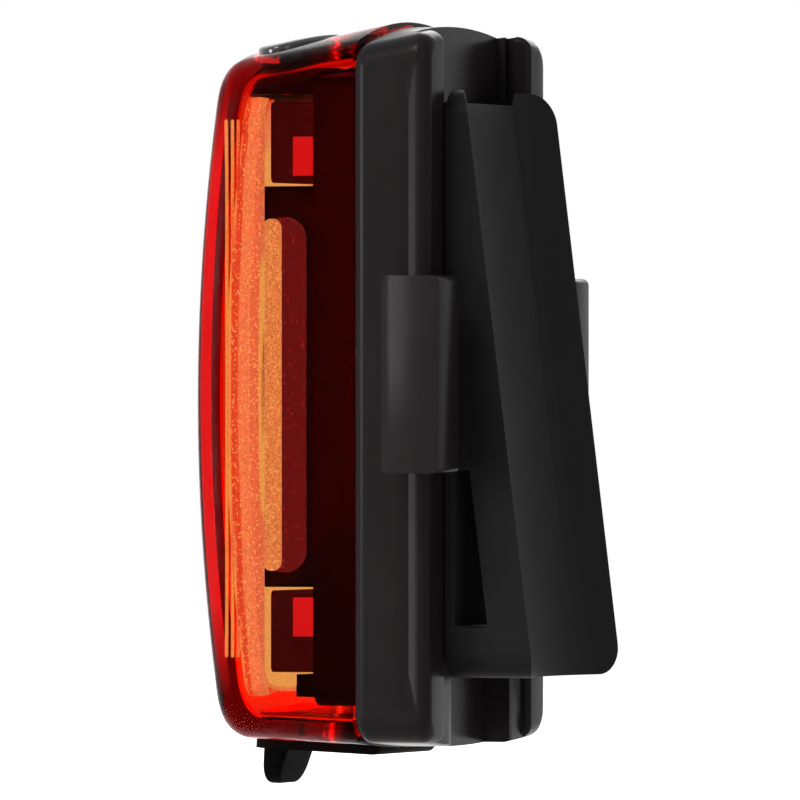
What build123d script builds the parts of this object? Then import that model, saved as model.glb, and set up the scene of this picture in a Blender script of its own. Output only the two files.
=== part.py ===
from build123d import *
import math
import os

# Bicycle rear light for a seat post, in millimetres.
# X is the width, -Y is ahead of the light (the red lens), +Z is up.
# The origin is the middle of the rail floor on the back of the housing.

os.makedirs("parts", exist_ok=True)

overrun = 1.0  # how far every cut runs past the face that it opens

# Case outline, seen from behind
case_half_width = 17.7
case_half_height = 35.2
case_arch_radius = 190.0  # of the foot, and of the top at the rear
crown_arch_radius = 60.0  # of the top at the seam and on the lens
case_corner = 2.8

# Rear housing
housing_depth = 7.8  # from the seam to the rear faces of the columns
rail_depth = 3.4
column_width = 5.3
rail_half_width = case_half_width - column_width
housing_floor = 1.5
housing_wall = 3.1
housing_rear_round = 1.45
housing_front_round = 1.35
column_inner_round = 0.6
seam = housing_depth - rail_depth  # how far the seam lies ahead of the rail floor

# Rail stop at the foot of the channel
stop_length = 8.9
stop_width = 3.8
stop_height = stop_length - case_half_height
stop_half_width = rail_half_width - stop_width
stop_drop = 0.8  # the stop's rear face lies this much below the columns

# Slots in the channel's walls, which hold the pad's flanges
slot_reach = 0.9
slot_width = 1.0
slot_lift = 0.8  # above the rail floor

# Groove along each column
groove_half_width = 1.0
groove_depth = 0.45
groove_shoulder = 2.0  # rounding of its edges
groove_runout = 4.0  # over which its ends rise to the surface
groove_from_rear = 2.1
groove_end = 3.5  # from the case's top and foot
groove_top = case_half_height - groove_end
groove_foot = -groove_top

# Strap hooks
hook_reach = 4.5
hook_depth = 6.2
hook_front = 3.4  # ahead of the columns' rear faces
hook_top = 10.7
hook_foot = -8.4
hook_corner = 0.7
hook_bevel_length = 1.4  # of the slope at the lip's front edge
hook_bevel_depth = 0.7
hook_root = 1.3  # how far its rear part laps the column
hook_land = 1.4  # from its side to the slope that leads the strap on
hook_rear_bevel = 0.6
notch_width = 2.3
notch_depth = 2.4

# Red lens
lens_depth = 18.85
lens_step_side = 0.4  # how far its sides lie inside the case's
lens_step_top = 0.5  # how far its top stands above the case's
lens_step_foot = 0.1
lens_half_width = case_half_width - lens_step_side
lens_top = case_half_height + lens_step_top
lens_foot = -case_half_height - lens_step_foot
lens_wall = 2.2
lens_corner = 3.0
lens_nose_corner = 6.0
lens_nose_round = 3.3
lens_side_draft = 5.6  # degrees
lens_top_fall = 10.7  # degrees
lens_foot_rise = 2.8  # degrees
lens_bow_radius = 205.0  # of the front, seen from the side
lens_cross_radius = 60.0  # of the front, seen from above
lens_bow_height = -1.3  # where the bow stands furthest ahead
lens_front = seam + lens_depth


def bow_sag(height):
    """How far the lens's front falls back from its furthest point at a height."""
    return lens_bow_radius - math.sqrt(lens_bow_radius**2 - (height - lens_bow_height) ** 2)


# Seal between lens and housing
seal_depth = 1.2
seal_width = 0.8
seal_margin = 0.1  # between the pocket's edge and the seal

# Inner frame
frame_gap = 0.5  # to the pocket's sides
frame_end_gap = 0.5  # to its top and foot
frame_half_width = case_half_width - housing_wall - frame_gap
frame_half_height = case_half_height - housing_wall - frame_end_gap
frame_corner = 2.2
frame_wall = 1.2
web_thickness = 1.0
boss_radius = 2.0
boss_bore_gap = 0.02
boss_from_side = 5.1  # from the frame's side
boss_from_end = 8.0
boss_x = frame_half_width - boss_from_side
boss_z = frame_half_height - boss_from_end

# Main board
board_gap = 0.3  # to the frame's sides
board_end_gap = 2.0  # to its top and foot
board_half_width = frame_half_width - frame_wall - board_gap
board_half_height = frame_half_height - frame_wall - board_end_gap
board_thickness = 1.0
board_from_seam = 3.2
board_rear = seam + board_from_seam
board_hole_gap = 0.25
web_rear = board_rear + board_thickness
web_front = web_rear + web_thickness

# Chips on the rear of the main board
chip_height = 0.7
controller_side = 4.0
charger_side = 3.0
filter_width = 2.0
filter_height = 1.2
filter_from_boss = 4.0
filter_x = boss_x - filter_from_boss
filter_spread = 1.1  # each filter lies this far above or below the controller's middle
charger_from_boss = 3.8
charger_x = charger_from_boss - boss_x
controller_from_end = 2.8
charger_from_end = 3.2
controller_z = board_half_height - controller_from_end
charger_z = charger_from_end - board_half_height
# width, height, x, z
chip_places = (
    (controller_side, controller_side, 0, controller_z),
    (filter_width, filter_height, filter_x, controller_z + filter_spread),
    (filter_width, filter_height, filter_x, controller_z - filter_spread),
    (charger_side, charger_side, charger_x, charger_z),
)

# Battery
battery_front_gap = 0.3  # to the chips
battery_gap = 0.9  # to the frame's sides
battery_end_gap = 1.1  # to the bosses
battery_half_width = frame_half_width - frame_wall - battery_gap
battery_half_height = boss_z - boss_radius - battery_end_gap
battery_round = 1.6
foam_thickness = 0.5
guard_gap = 1.0  # to the bosses
guard_half_width = boss_x - boss_radius - guard_gap
guard_height = 2.6
guard_thickness = 0.8
guard_lift = 1.0  # from the cell's rear face
lead_radius = 0.45
lead_x = 3.0
lead_rise = 2.6  # from the guard to the middle of the run ahead
lead_bend = 1.4
battery_rear = housing_floor + foam_thickness
battery_thickness = board_rear - chip_height - battery_front_gap - battery_rear
foam_margin = 2.0  # inside the cell's edges

# Case screws, sunk in the rail floor
screw_radius = 1.0
screw_from_board = 1.2  # from its end to the board's rear
screw_length = board_rear - screw_from_board
screw_head_radius = 1.9
screw_head_angle = 82.0  # degrees
screw_hole_gap = 0.1
socket_radius = 0.7
socket_depth = 0.5

# Carrier of the light strips
core_from_side = 5.9  # from the frame's side
core_from_end = 12.0
core_half_width = frame_half_width - core_from_side
core_half_height = frame_half_height - core_from_end
core_round = 0.8

# Light strips: stadium-shaped boards on the carrier's front and sides
strip_thickness = 0.7
strip_width = 4.3
strip_end_gap = 2.25  # to the carrier's ends
strip_height = 2 * (core_half_height - strip_end_gap)
strip_middle = -0.8
side_strip_from_front = 2.3  # from the carrier's front to the strip's middle line
strip_gap = 0.75  # between the front strip's phosphor bar and the diffuser, at the bar's ends
phosphor_width = 1.9
phosphor_thickness = 0.3
phosphor_margin = 0.15  # from the strip's edge

# Diffuser behind the lens
diffuser_gap = 0.4
diffuser_wall = 1.2
diffuser_depth = 8.05  # from its rear edge to the lens's front
diffuser_rear = lens_front - diffuser_depth
strip_sag = bow_sag(strip_middle - strip_height / 2)
diffuser_inner = lens_front - lens_wall - diffuser_gap - diffuser_wall
core_front = diffuser_inner - strip_sag - strip_gap - phosphor_thickness - strip_thickness
core_depth = core_front - web_front
side_strip_ahead = core_front - side_strip_from_front

# Reflector boxes above and below the carrier, and their chips
box_step = 1.0  # how far its sides stand outside the carrier's
box_half_width = core_half_width + box_step
box_depth = 6.2
box_height = 8.0
box_gap = 0.3  # to the carrier
box_end = core_half_height + box_gap + box_height
box_round = 0.6
emitter_width = 2.4
emitter_height = 3.8
emitter_thickness = 0.6
emitter_lift = 2.9  # from the web to the side chips' middle
emitter_ahead = web_front + emitter_lift
emitter_from_end = 2.6  # from the box's inner end to the chip's middle
emitter_pocket_depth = 1.0
emitter_pocket_gap = 0.3

# Ends of the diffuser, beyond the boxes' ends
diffuser_rise = 0.3
diffuser_drop = 2.3
diffuser_top = box_end + diffuser_rise
diffuser_foot = -box_end - diffuser_drop

# Black mask inside the lens's top
mask_wall = 0.7
mask_gap = 0.3  # to the diffuser, the seam, the frame's top and the button's membrane
mask_foot = diffuser_top + mask_gap
roof_foot = frame_half_height + mask_gap

# Power button
button_from_front = 4.6  # from its middle to the lens's front at the crown
button_ahead = lens_depth - bow_sag(lens_top) - button_from_front
button_side_margin = 7.3  # from the lens's side
button_half_width = lens_half_width - button_side_margin
button_half_length = 3.7
button_proud = 0.45
button_gap = 0.25
button_travel = 0.35
button_round = 0.4
button_opening_depth = 4.7  # from the lens's crown to the opening's foot
button_floor = lens_top - button_opening_depth
stem_radius = 1.2
stem_gap = 0.05
membrane_thickness = 0.5
membrane_lip = 2.4  # inside the button's ends
membrane_side_lip = 1.5  # inside its front and rear
membrane_rim = 0.9  # beyond the button's edge
membrane_skirt = 1.6  # how far it reaches below the button's opening
membrane_clearance = 0.1  # left under the button when it is pressed

# Button board and switch
button_board_half_width = 6.0
button_board_length = 6.0
button_board_reach = 1.4  # ahead of the button's middle
button_board_thickness = 0.8
switch_width = 4.0
switch_length = 2.8
switch_height = 1.3
plunger_radius = 0.8
plunger_height = 1.0
plunger_sink = 0.5  # how far it stands in the switch body
plunger_gap = 0.05

# Charging port
port_width = 8.94
port_thickness = 3.26
port_shell = 0.3
port_clearance = 0.2  # below the lower reflector
port_top = -box_end - port_clearance
port_gap = 0.3
collar_half_width = 8.6
collar_depth = 3.8
collar_height = 2.6  # from the lower reflector to its foot
tongue_width = 6.7
tongue_thickness = 0.7
tongue_recess = 0.8

# Port cover
cover_half_width = 8.0
cover_length = 13.7
cover_start = 0.5  # ahead of the seam
cover_corner = 2.6
cover_proud = 0.7
cover_sink = 1.0
cover_gap = 0.2
cover_float = 0.1  # above the recess floor
anchor_from_hinge = 1.4
anchor_radius = 0.7
anchor_head_radius = 1.1
anchor_head_height = 0.8
anchor_gap = 0.05
plug_width = 7.0
plug_thickness = 1.3
plug_height = 0.55
plug_round = 0.5
tab_half_width = 4.0
tab_root = 2.6
tab_tip = 1.5
tab_drop = 3.6
tab_corner = 2.0
tab_tip_round = 0.5

# Seat-post pad
pad_overlap = 0.8  # beyond the rail's sides
pad_top_margin = 6.4  # below the case's top
pad_foot_margin = 6.9
pad_half_width = rail_half_width + pad_overlap
pad_top = case_half_height - pad_top_margin
pad_foot = pad_foot_margin - case_half_height
pad_corner = 3.0
pad_gap = 0.15  # between the pad and what it slides on
pad_rear_top = 2.25  # its rear edge behind the columns, at its top
pad_rear_foot = 9.3
cradle_radius = 31.0
runner_gap = 0.3
runner_step = 1.2  # below the pad's top
runner_top = pad_top - runner_step
flange_reach = 0.6
flange_width = 0.5
window_lift = 4.9  # above the pad's foot
window_height = 15.4
window_foot = pad_foot + window_lift
window_top = window_foot + window_height
window_front_wall = 1.2  # behind the columns' rear faces
window_rear_wall = 4.1  # from the window to the pad's rear edge
window_round = 0.3


def ahead(distance):
    """The plane that far ahead of the rail floor; its own y is up, and it faces ahead."""
    return Plane.XZ.offset(distance)


rail_floor = Plane(origin=(0, 0, 0), x_dir=(1, 0, 0), z_dir=(0, 1, 0))


def case_outline(half_width, top, foot, corner, crown_radius=crown_arch_radius):
    """An upright outline with arched ends and round corners, for the sketch that is open."""
    fall = crown_radius - math.sqrt(crown_radius**2 - half_width**2)
    rise = case_arch_radius - math.sqrt(case_arch_radius**2 - half_width**2)
    with BuildLine() as outline:
        upper = ThreePointArc((-half_width, top - fall), (0, top), (half_width, top - fall))
        lower = ThreePointArc((half_width, foot + rise), (0, foot), (-half_width, foot + rise))
        Line(upper @ 1, lower @ 0)
        Line(lower @ 1, upper @ 0)
    make_face(outline.line)
    fillet(vertices(), corner)


def finish(builder, label):
    """Names a piece and writes it."""
    builder.part.label = label
    export_step(builder.part, f"parts/{label}.step")


def lens_section(distance, inset, corner):
    """The lens's outline that far ahead of the seam, for the sketch that is open."""
    side = lens_half_width - distance * math.tan(math.radians(lens_side_draft)) - inset
    top = lens_top - distance * math.tan(math.radians(lens_top_fall)) - inset
    foot = lens_foot + distance * math.tan(math.radians(lens_foot_rise)) + inset
    case_outline(side, top, foot, corner)


def lens_form(inset):
    """The lens as one solid, drawn in by inset on every side but its open back."""
    share = 1 - inset / lens_half_width
    front = lens_front - inset
    sag = lens_cross_radius - math.sqrt(lens_cross_radius**2 - lens_half_width**2)
    with BuildPart() as form:
        with BuildSketch(ahead(seam)):
            lens_section(0, inset, lens_corner * share)
        with BuildSketch(ahead(lens_front + overrun)):
            lens_section(lens_depth + overrun, inset, lens_nose_corner * share)
        loft()
        with BuildSketch(Plane.XY.offset(lens_bow_height)):
            with BuildLine():
                nose = ThreePointArc(
                    (-lens_half_width - overrun, sag - front), (0, -front), (lens_half_width + overrun, sag - front)
                )
                Polyline(
                    nose @ 1,
                    (lens_half_width + overrun, housing_depth),
                    (-lens_half_width - overrun, housing_depth),
                    nose @ 0,
                )
            make_face()
        bow_axis = Axis((0, lens_bow_radius - front, lens_bow_height), (1, 0, 0))
        revolve(axis=bow_axis, mode=Mode.INTERSECT)
        fillet(form.faces().sort_by(Axis.Y)[0].edges(), lens_nose_round * share)
    return form.part


# Rear housing: one strap hook first, with the notch that takes the strap
hook_middle = (hook_top + hook_foot) / 2
hook_height = hook_top - hook_foot
hook_rear = rail_depth - hook_front + hook_depth
hook_inner = case_half_width - hook_root
hook_outer = case_half_width + hook_reach

with BuildPart() as hook:
    with BuildSketch(Plane.YZ.offset(hook_inner)):
        with Locations((hook_rear - hook_depth / 2, hook_middle)):
            RectangleRounded(hook_depth, hook_height, hook_corner)
    extrude(amount=hook_root + hook_reach)
    with BuildSketch(Plane.XY.offset(hook_foot - overrun)):
        with BuildLine():
            Polyline(
                (hook_outer - hook_bevel_depth, hook_rear - hook_depth),
                (hook_outer, hook_rear - hook_depth + hook_bevel_length),
                (hook_outer + overrun, hook_rear - hook_depth + hook_bevel_length),
                (hook_outer + overrun, hook_rear - hook_depth - overrun),
                (hook_outer - hook_bevel_depth, hook_rear - hook_depth - overrun),
                close=True,
            )
            Polyline(
                (hook_outer + overrun, hook_rear - hook_rear_bevel),
                (hook_outer, hook_rear - hook_rear_bevel),
                (hook_outer - hook_rear_bevel, hook_rear),
                (hook_outer - hook_land, hook_rear),
                (hook_inner, rail_depth),
                (hook_inner - overrun, rail_depth),
                (hook_inner - overrun, hook_rear + overrun),
                (hook_outer + overrun, hook_rear + overrun),
                close=True,
            )
        make_face()
        with Locations((hook_inner - overrun, hook_rear - hook_depth - overrun)):
            notch_out = hook_root + notch_width + overrun
            Rectangle(notch_out, notch_depth + overrun, align=(Align.MIN, Align.MIN))
    extrude(amount=hook_height + 2 * overrun, mode=Mode.SUBTRACT)

# The housing itself
pocket_half_width = case_half_width - housing_wall
pocket_half_height = case_half_height - housing_wall
step_half_width = pocket_half_width + seal_margin + seal_width
step_half_height = pocket_half_height + seal_margin + seal_width
channel_top = case_half_height + overrun
channel_height = channel_top - stop_height
groove_y = rail_depth - groove_from_rear
groove_bottom = case_half_width - groove_depth
with BuildPart() as groove:
    with BuildSketch(Plane.XY.offset(groove_foot)) as groove_profile:
        flat = groove_half_width + groove_shoulder
        with BuildLine():
            Polyline(
                (case_half_width + overrun, groove_y - flat),
                (case_half_width, groove_y - flat),
                (case_half_width, groove_y - groove_half_width),
                (groove_bottom, groove_y),
                (case_half_width, groove_y + groove_half_width),
                (case_half_width, groove_y + flat),
                (case_half_width + overrun, groove_y + flat),
                close=True,
            )
        make_face()
        by_height = groove_profile.vertices().sort_by(Axis.Y)
        fillet((by_height[2], by_height[4]), groove_shoulder)
    extrude(amount=groove_top - groove_foot)
    with BuildSketch(Plane.XZ):
        with BuildLine():
            Polyline(
                (case_half_width + overrun, groove_foot),
                (case_half_width, groove_foot),
                (groove_bottom, groove_foot + groove_runout),
                (groove_bottom, groove_top - groove_runout),
                (case_half_width, groove_top),
                (case_half_width + overrun, groove_top),
                close=True,
            )
        make_face()
    extrude(amount=housing_depth, both=True, mode=Mode.INTERSECT)

with BuildPart() as rear_housing:
    with BuildSketch(ahead(-rail_depth)):
        case_outline(case_half_width, case_half_height, -case_half_height, case_corner, case_arch_radius)
    with BuildSketch(ahead(seam)):
        case_outline(case_half_width, case_half_height, -case_half_height, case_corner)
    loft()
    fillet(rear_housing.faces().sort_by(Axis.Y)[-1].edges(), housing_rear_round)
    fillet(rear_housing.faces().sort_by(Axis.Y)[0].edges(), housing_front_round)

    # Battery pocket and the seal's step, open ahead
    with BuildSketch(ahead(housing_floor)):
        case_outline(pocket_half_width, pocket_half_height, -pocket_half_height, case_corner)
    extrude(amount=seam - housing_floor + overrun, mode=Mode.SUBTRACT)
    with BuildSketch(ahead(seam - seal_depth)):
        case_outline(step_half_width, step_half_height, -step_half_height, case_corner)
    extrude(amount=seal_depth + overrun, mode=Mode.SUBTRACT)

    # Rail channel, open at the top; the stop narrows its foot
    with BuildSketch(ahead(0)):
        with Locations((0, stop_height)):
            Rectangle(2 * rail_half_width, channel_height, align=(Align.CENTER, Align.MIN))
        Rectangle(2 * stop_half_width, 2 * channel_top)
    extrude(amount=-rail_depth - overrun, mode=Mode.SUBTRACT)
    with BuildSketch(ahead(stop_drop - rail_depth)):
        Rectangle(2 * rail_half_width, 2 * channel_top)
    extrude(amount=-stop_drop - overrun, mode=Mode.SUBTRACT)
    with BuildSketch(Plane.XY.offset(stop_height)):
        with Locations((0, slot_lift + slot_width / 2)):
            Rectangle(2 * (rail_half_width + slot_reach), slot_width)
    extrude(amount=channel_height, mode=Mode.SUBTRACT)
    rear_uprights = rear_housing.edges().filter_by(Axis.Z).group_by(Axis.Y)[-1]
    inner_uprights = rear_uprights.filter_by(lambda edge: abs(edge.center().X) < rail_half_width + slot_reach)
    fillet(inner_uprights, column_inner_round)

    # Grooves along the columns
    add(groove.part, mode=Mode.SUBTRACT)
    add(mirror(groove.part, about=Plane.YZ, mode=Mode.PRIVATE), mode=Mode.SUBTRACT)

    # Strap hooks
    add(hook.part)
    add(mirror(hook.part, about=Plane.YZ, mode=Mode.PRIVATE))

    # Countersunk screw holes in the rail floor
    with Locations(rail_floor):
        with GridLocations(2 * boss_x, 2 * boss_z, 2, 2):
            CounterSinkHole(
                screw_radius + screw_hole_gap,
                screw_head_radius + screw_hole_gap,
                housing_floor + overrun,
                screw_head_angle,
            )
finish(rear_housing, "rear_housing")

# Red lens, open behind, with the button's opening above and the port cover's recess below
foot_rise = math.radians(lens_foot_rise)
port_ahead = web_rear + port_thickness / 2
port_from_seam = port_ahead - seam
port_foot = lens_foot + port_from_seam * math.tan(foot_rise) + cover_sink + cover_float
button_place = (0, -seam - button_ahead)
cover_plane = Plane(
    origin=(0, -seam, lens_foot), x_dir=(1, 0, 0), z_dir=(0, -math.sin(foot_rise), -math.cos(foot_rise))
)
cover_side = Plane(
    origin=(0, -seam, lens_foot), x_dir=(0, -math.cos(foot_rise), math.sin(foot_rise)), z_dir=(1, 0, 0)
)
cover_round = (cover_proud + cover_sink) / 2
hinge_from_seam = cover_start + cover_round
hinge_out = cover_proud - cover_round  # outside the lens's foot
cover_end = cover_start + cover_length
anchor_from_seam = hinge_from_seam + anchor_from_hinge

with BuildPart() as lens:
    add(lens_form(0))
    add(lens_form(lens_wall), mode=Mode.SUBTRACT)
    with BuildSketch(Plane.XY.offset(button_floor)):
        with Locations(button_place):
            Ellipse(button_half_width + button_gap, button_half_length + button_gap)
    extrude(amount=lens_top - button_floor, mode=Mode.SUBTRACT)
    with BuildSketch(cover_plane.offset(-cover_sink - cover_float)) as recess:
        with Locations((0, cover_start - cover_gap)):
            recess_size = (2 * (cover_half_width + cover_gap), cover_length + 2 * cover_gap)
            Rectangle(*recess_size, align=(Align.CENTER, Align.MIN))
        fillet(recess.vertices().group_by(Axis.Y)[-1], cover_corner + cover_gap)
    extrude(amount=cover_sink + cover_float + overrun, mode=Mode.SUBTRACT)
    with BuildSketch(Plane.XY.offset(port_foot - cover_sink)):
        with Locations((0, -port_ahead)):
            SlotOverall(port_width + 2 * port_gap, port_thickness + 2 * port_gap)
    extrude(amount=lens_wall + cover_sink, mode=Mode.SUBTRACT)
    with BuildSketch(cover_plane):
        with Locations((0, anchor_from_seam)):
            Circle(anchor_radius + anchor_gap)
    extrude(amount=-lens_wall - overrun, mode=Mode.SUBTRACT)
finish(lens, "lens")

# Seal in the housing's step
with BuildPart() as lens_seal:
    with BuildSketch(ahead(seam - seal_depth)):
        case_outline(step_half_width, step_half_height, -step_half_height, case_corner)
    extrude(amount=seal_depth)
    with BuildSketch(ahead(seam - seal_depth)):
        case_outline(
            step_half_width - seal_width, step_half_height - seal_width, seal_width - step_half_height, case_corner
        )
    extrude(amount=seal_depth, mode=Mode.SUBTRACT)
finish(lens_seal, "lens_seal")

# Inner frame: a ring, a web across it, and four screw bosses
with BuildPart() as inner_frame:
    with BuildSketch(ahead(housing_floor)):
        case_outline(frame_half_width, frame_half_height, -frame_half_height, frame_corner)
    extrude(amount=web_front - housing_floor)
    with BuildSketch(ahead(housing_floor)):
        inside = frame_half_height - frame_wall
        case_outline(frame_half_width - frame_wall, inside, -inside, frame_corner)
    extrude(amount=web_rear - housing_floor, mode=Mode.SUBTRACT)
    with BuildSketch(ahead(housing_floor)):
        with GridLocations(2 * boss_x, 2 * boss_z, 2, 2):
            Circle(boss_radius)
    extrude(amount=web_rear - housing_floor)
    with BuildSketch(ahead(housing_floor)):
        with GridLocations(2 * boss_x, 2 * boss_z, 2, 2):
            Circle(screw_radius + boss_bore_gap)
    extrude(amount=screw_length - housing_floor + boss_radius / 2, mode=Mode.SUBTRACT)
    with BuildSketch(ahead(web_rear - port_gap)):
        with Locations((0, port_top + port_gap)):
            notch_size = (port_width + 2 * port_gap, frame_half_height)
            Rectangle(*notch_size, align=(Align.CENTER, Align.MAX))
    extrude(amount=port_thickness + 2 * port_gap, mode=Mode.SUBTRACT)
finish(inner_frame, "inner_frame")

# Main board, round the bosses, and the chips on its rear
with BuildPart() as main_board:
    with BuildSketch(ahead(board_rear)):
        RectangleRounded(2 * board_half_width, 2 * board_half_height, frame_corner)
        with GridLocations(2 * boss_x, 2 * boss_z, 2, 2):
            Circle(boss_radius + board_hole_gap, mode=Mode.SUBTRACT)
    extrude(amount=board_thickness)
finish(main_board, "main_board")

with BuildPart() as board_chips:
    with BuildSketch(ahead(board_rear - chip_height)):
        for chip_width, chip_length, chip_x, chip_z in chip_places:
            with Locations((chip_x, chip_z)):
                Rectangle(chip_width, chip_length)
    extrude(amount=chip_height)
finish(board_chips, "board_chips")

# Battery: cell, foam behind it, guard board on its top and two leads
with BuildPart() as battery_cell:
    with BuildSketch(ahead(battery_rear)):
        RectangleRounded(2 * battery_half_width, 2 * battery_half_height, battery_round)
    extrude(amount=battery_thickness)
    fillet(battery_cell.edges().filter_by(Axis.Z), battery_round)
finish(battery_cell, "battery_cell")

with BuildPart() as battery_foam:
    with BuildSketch(ahead(housing_floor)):
        Rectangle(2 * (battery_half_width - foam_margin), 2 * (battery_half_height - foam_margin))
    extrude(amount=foam_thickness)
finish(battery_foam, "battery_foam")

guard_ahead = battery_rear + guard_lift
with BuildPart() as battery_guard:
    with BuildSketch(ahead(guard_ahead)):
        with Locations((0, battery_half_height)):
            Rectangle(2 * guard_half_width, guard_height, align=(Align.CENTER, Align.MIN))
    extrude(amount=guard_thickness)
finish(battery_guard, "battery_guard")

lead_ahead = guard_ahead + guard_thickness / 2
lead_foot = battery_half_height + guard_height
with BuildPart() as battery_leads:
    for side in (-1, 1):
        with BuildLine(Plane.YZ.offset(side * lead_x)) as lead_path:
            FilletPolyline(
                (-lead_ahead, lead_foot),
                (-lead_ahead, lead_foot + lead_rise),
                (-board_rear, lead_foot + lead_rise),
                radius=lead_bend,
            )
        with BuildSketch(Plane.XY.offset(lead_foot)):
            with Locations((side * lead_x, -lead_ahead)):
                Circle(lead_radius)
        sweep(path=lead_path.line)
finish(battery_leads, "battery_leads")

# Case screws
screw_head_depth = (screw_head_radius - screw_radius) / math.tan(math.radians(screw_head_angle / 2))
with BuildPart() as screw:
    with BuildSketch(Plane.XY):
        with BuildLine():
            Polyline(
                (0, 0),
                (screw_head_radius, 0),
                (screw_radius, -screw_head_depth),
                (screw_radius, -screw_length),
                (0, -screw_length),
                close=True,
            )
        make_face()
    revolve(axis=Axis.Y)
    with BuildSketch(rail_floor):
        RegularPolygon(socket_radius, 6)
    extrude(amount=-socket_depth, mode=Mode.SUBTRACT)
with BuildPart() as case_screws:
    with Locations(*[(x, 0, z) for x in (-boss_x, boss_x) for z in (-boss_z, boss_z)]):
        add(screw.part)
finish(case_screws, "case_screws")

# Carrier of the light strips
with BuildPart() as led_core:
    with BuildSketch(ahead(web_front)):
        RectangleRounded(2 * core_half_width, 2 * core_half_height, core_round)
    extrude(amount=core_depth)
finish(led_core, "led_core")

# Light strips and the phosphor bars on them
with BuildPart() as front_strip:
    with BuildSketch(ahead(core_front)):
        with Locations((0, strip_middle)):
            SlotOverall(strip_height, strip_width, rotation=90)
    extrude(amount=strip_thickness)
finish(front_strip, "front_strip")

phosphor_height = strip_height - 2 * phosphor_margin
with BuildPart() as front_phosphor:
    with BuildSketch(ahead(core_front + strip_thickness)):
        with Locations((0, strip_middle)):
            SlotOverall(phosphor_height, phosphor_width, rotation=90)
    extrude(amount=phosphor_thickness)
finish(front_phosphor, "front_phosphor")

with BuildPart() as side_strips:
    for side in (-1, 1):
        with BuildSketch(Plane.YZ.offset(side * core_half_width)):
            with Locations((-side_strip_ahead, strip_middle)):
                SlotOverall(strip_height, strip_width, rotation=90)
        extrude(amount=side * strip_thickness)
finish(side_strips, "side_strips")

side_phosphor_ahead = side_strip_ahead + (strip_width - phosphor_width) / 2 - phosphor_margin
with BuildPart() as side_phosphors:
    for side in (-1, 1):
        with BuildSketch(Plane.YZ.offset(side * (core_half_width + strip_thickness))):
            with Locations((-side_phosphor_ahead, strip_middle)):
                SlotOverall(phosphor_height, phosphor_width, rotation=90)
        extrude(amount=side * phosphor_thickness)
finish(side_phosphors, "side_phosphors")

# Reflector boxes and their light-emitting chips, one on each side and one ahead
box_front = web_front + box_depth
pocket_width = emitter_width + 2 * emitter_pocket_gap
pocket_height = emitter_height + 2 * emitter_pocket_gap


def emitter_height_of(way):
    """The height of a box's chips; way is 1 for the upper box and -1 for the lower one."""
    return way * (core_half_height + box_gap + emitter_from_end)


def reflector_box(way):
    """A reflector box with a pocket for each chip."""
    with BuildPart() as box:
        with BuildSketch(ahead(web_front)):
            with Locations((0, way * (core_half_height + box_gap + box_height / 2))):
                RectangleRounded(2 * box_half_width, box_height, box_round)
        extrude(amount=box_depth)
        for side in (-1, 1):
            with BuildSketch(Plane.YZ.offset(side * (box_half_width - emitter_pocket_depth))):
                with Locations((-emitter_ahead, emitter_height_of(way))):
                    Rectangle(pocket_width, pocket_height)
            extrude(amount=side * (emitter_pocket_depth + overrun), mode=Mode.SUBTRACT)
        with BuildSketch(ahead(box_front - emitter_pocket_depth)):
            with Locations((0, emitter_height_of(way))):
                Rectangle(pocket_width, pocket_height)
        extrude(amount=emitter_pocket_depth + overrun, mode=Mode.SUBTRACT)
    return box


def emitters(way):
    """The three chips that stand in a reflector box's pockets."""
    with BuildPart() as chips:
        for side in (-1, 1):
            with BuildSketch(Plane.YZ.offset(side * (box_half_width - emitter_pocket_depth))):
                with Locations((-emitter_ahead, emitter_height_of(way))):
                    Rectangle(emitter_width, emitter_height)
            extrude(amount=side * emitter_thickness)
        with BuildSketch(ahead(box_front - emitter_pocket_depth)):
            with Locations((0, emitter_height_of(way))):
                Rectangle(emitter_width, emitter_height)
        extrude(amount=emitter_thickness)
    return chips


for way, place in ((1, "upper"), (-1, "lower")):
    finish(reflector_box(way), f"{place}_reflector")
    finish(emitters(way), f"{place}_emitters")

# Diffuser: a thin cover close behind the lens's front, with its sides turned back
with BuildPart() as diffuser:
    add(lens_form(lens_wall + diffuser_gap))
    add(lens_form(lens_wall + diffuser_gap + diffuser_wall), mode=Mode.SUBTRACT)
    with BuildSketch(ahead(diffuser_rear)):
        with Locations((0, diffuser_foot)):
            diffuser_size = (2 * lens_half_width, diffuser_top - diffuser_foot)
            Rectangle(*diffuser_size, align=(Align.CENTER, Align.MIN))
    extrude(amount=lens_front - diffuser_rear, mode=Mode.INTERSECT)
finish(diffuser, "diffuser")

# Mask: a black hood close inside the lens's top, open for the button's membrane, with a roof
# that reaches back over the frame
with BuildPart() as crown_mask:
    add(lens_form(lens_wall + diffuser_gap))
    add(lens_form(lens_wall + diffuser_gap + mask_wall), mode=Mode.SUBTRACT)
    with BuildSketch(Plane.YZ):
        with BuildLine():
            Polyline(
                (-lens_front, mask_foot),
                (-web_front, mask_foot),
                (-web_front, roof_foot),
                (-seam - mask_gap, roof_foot),
                (-seam - mask_gap, lens_top),
                (-lens_front, lens_top),
                close=True,
            )
        make_face()
    extrude(amount=lens_half_width, both=True, mode=Mode.INTERSECT)
    with BuildSketch(Plane.XY.offset(button_floor - membrane_skirt - mask_gap)):
        with Locations(button_place):
            mask_reach = membrane_rim + mask_gap
            Ellipse(button_half_width + mask_reach, button_half_length + mask_reach)
    extrude(amount=lens_top, mode=Mode.SUBTRACT)
finish(crown_mask, "crown_mask")

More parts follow.
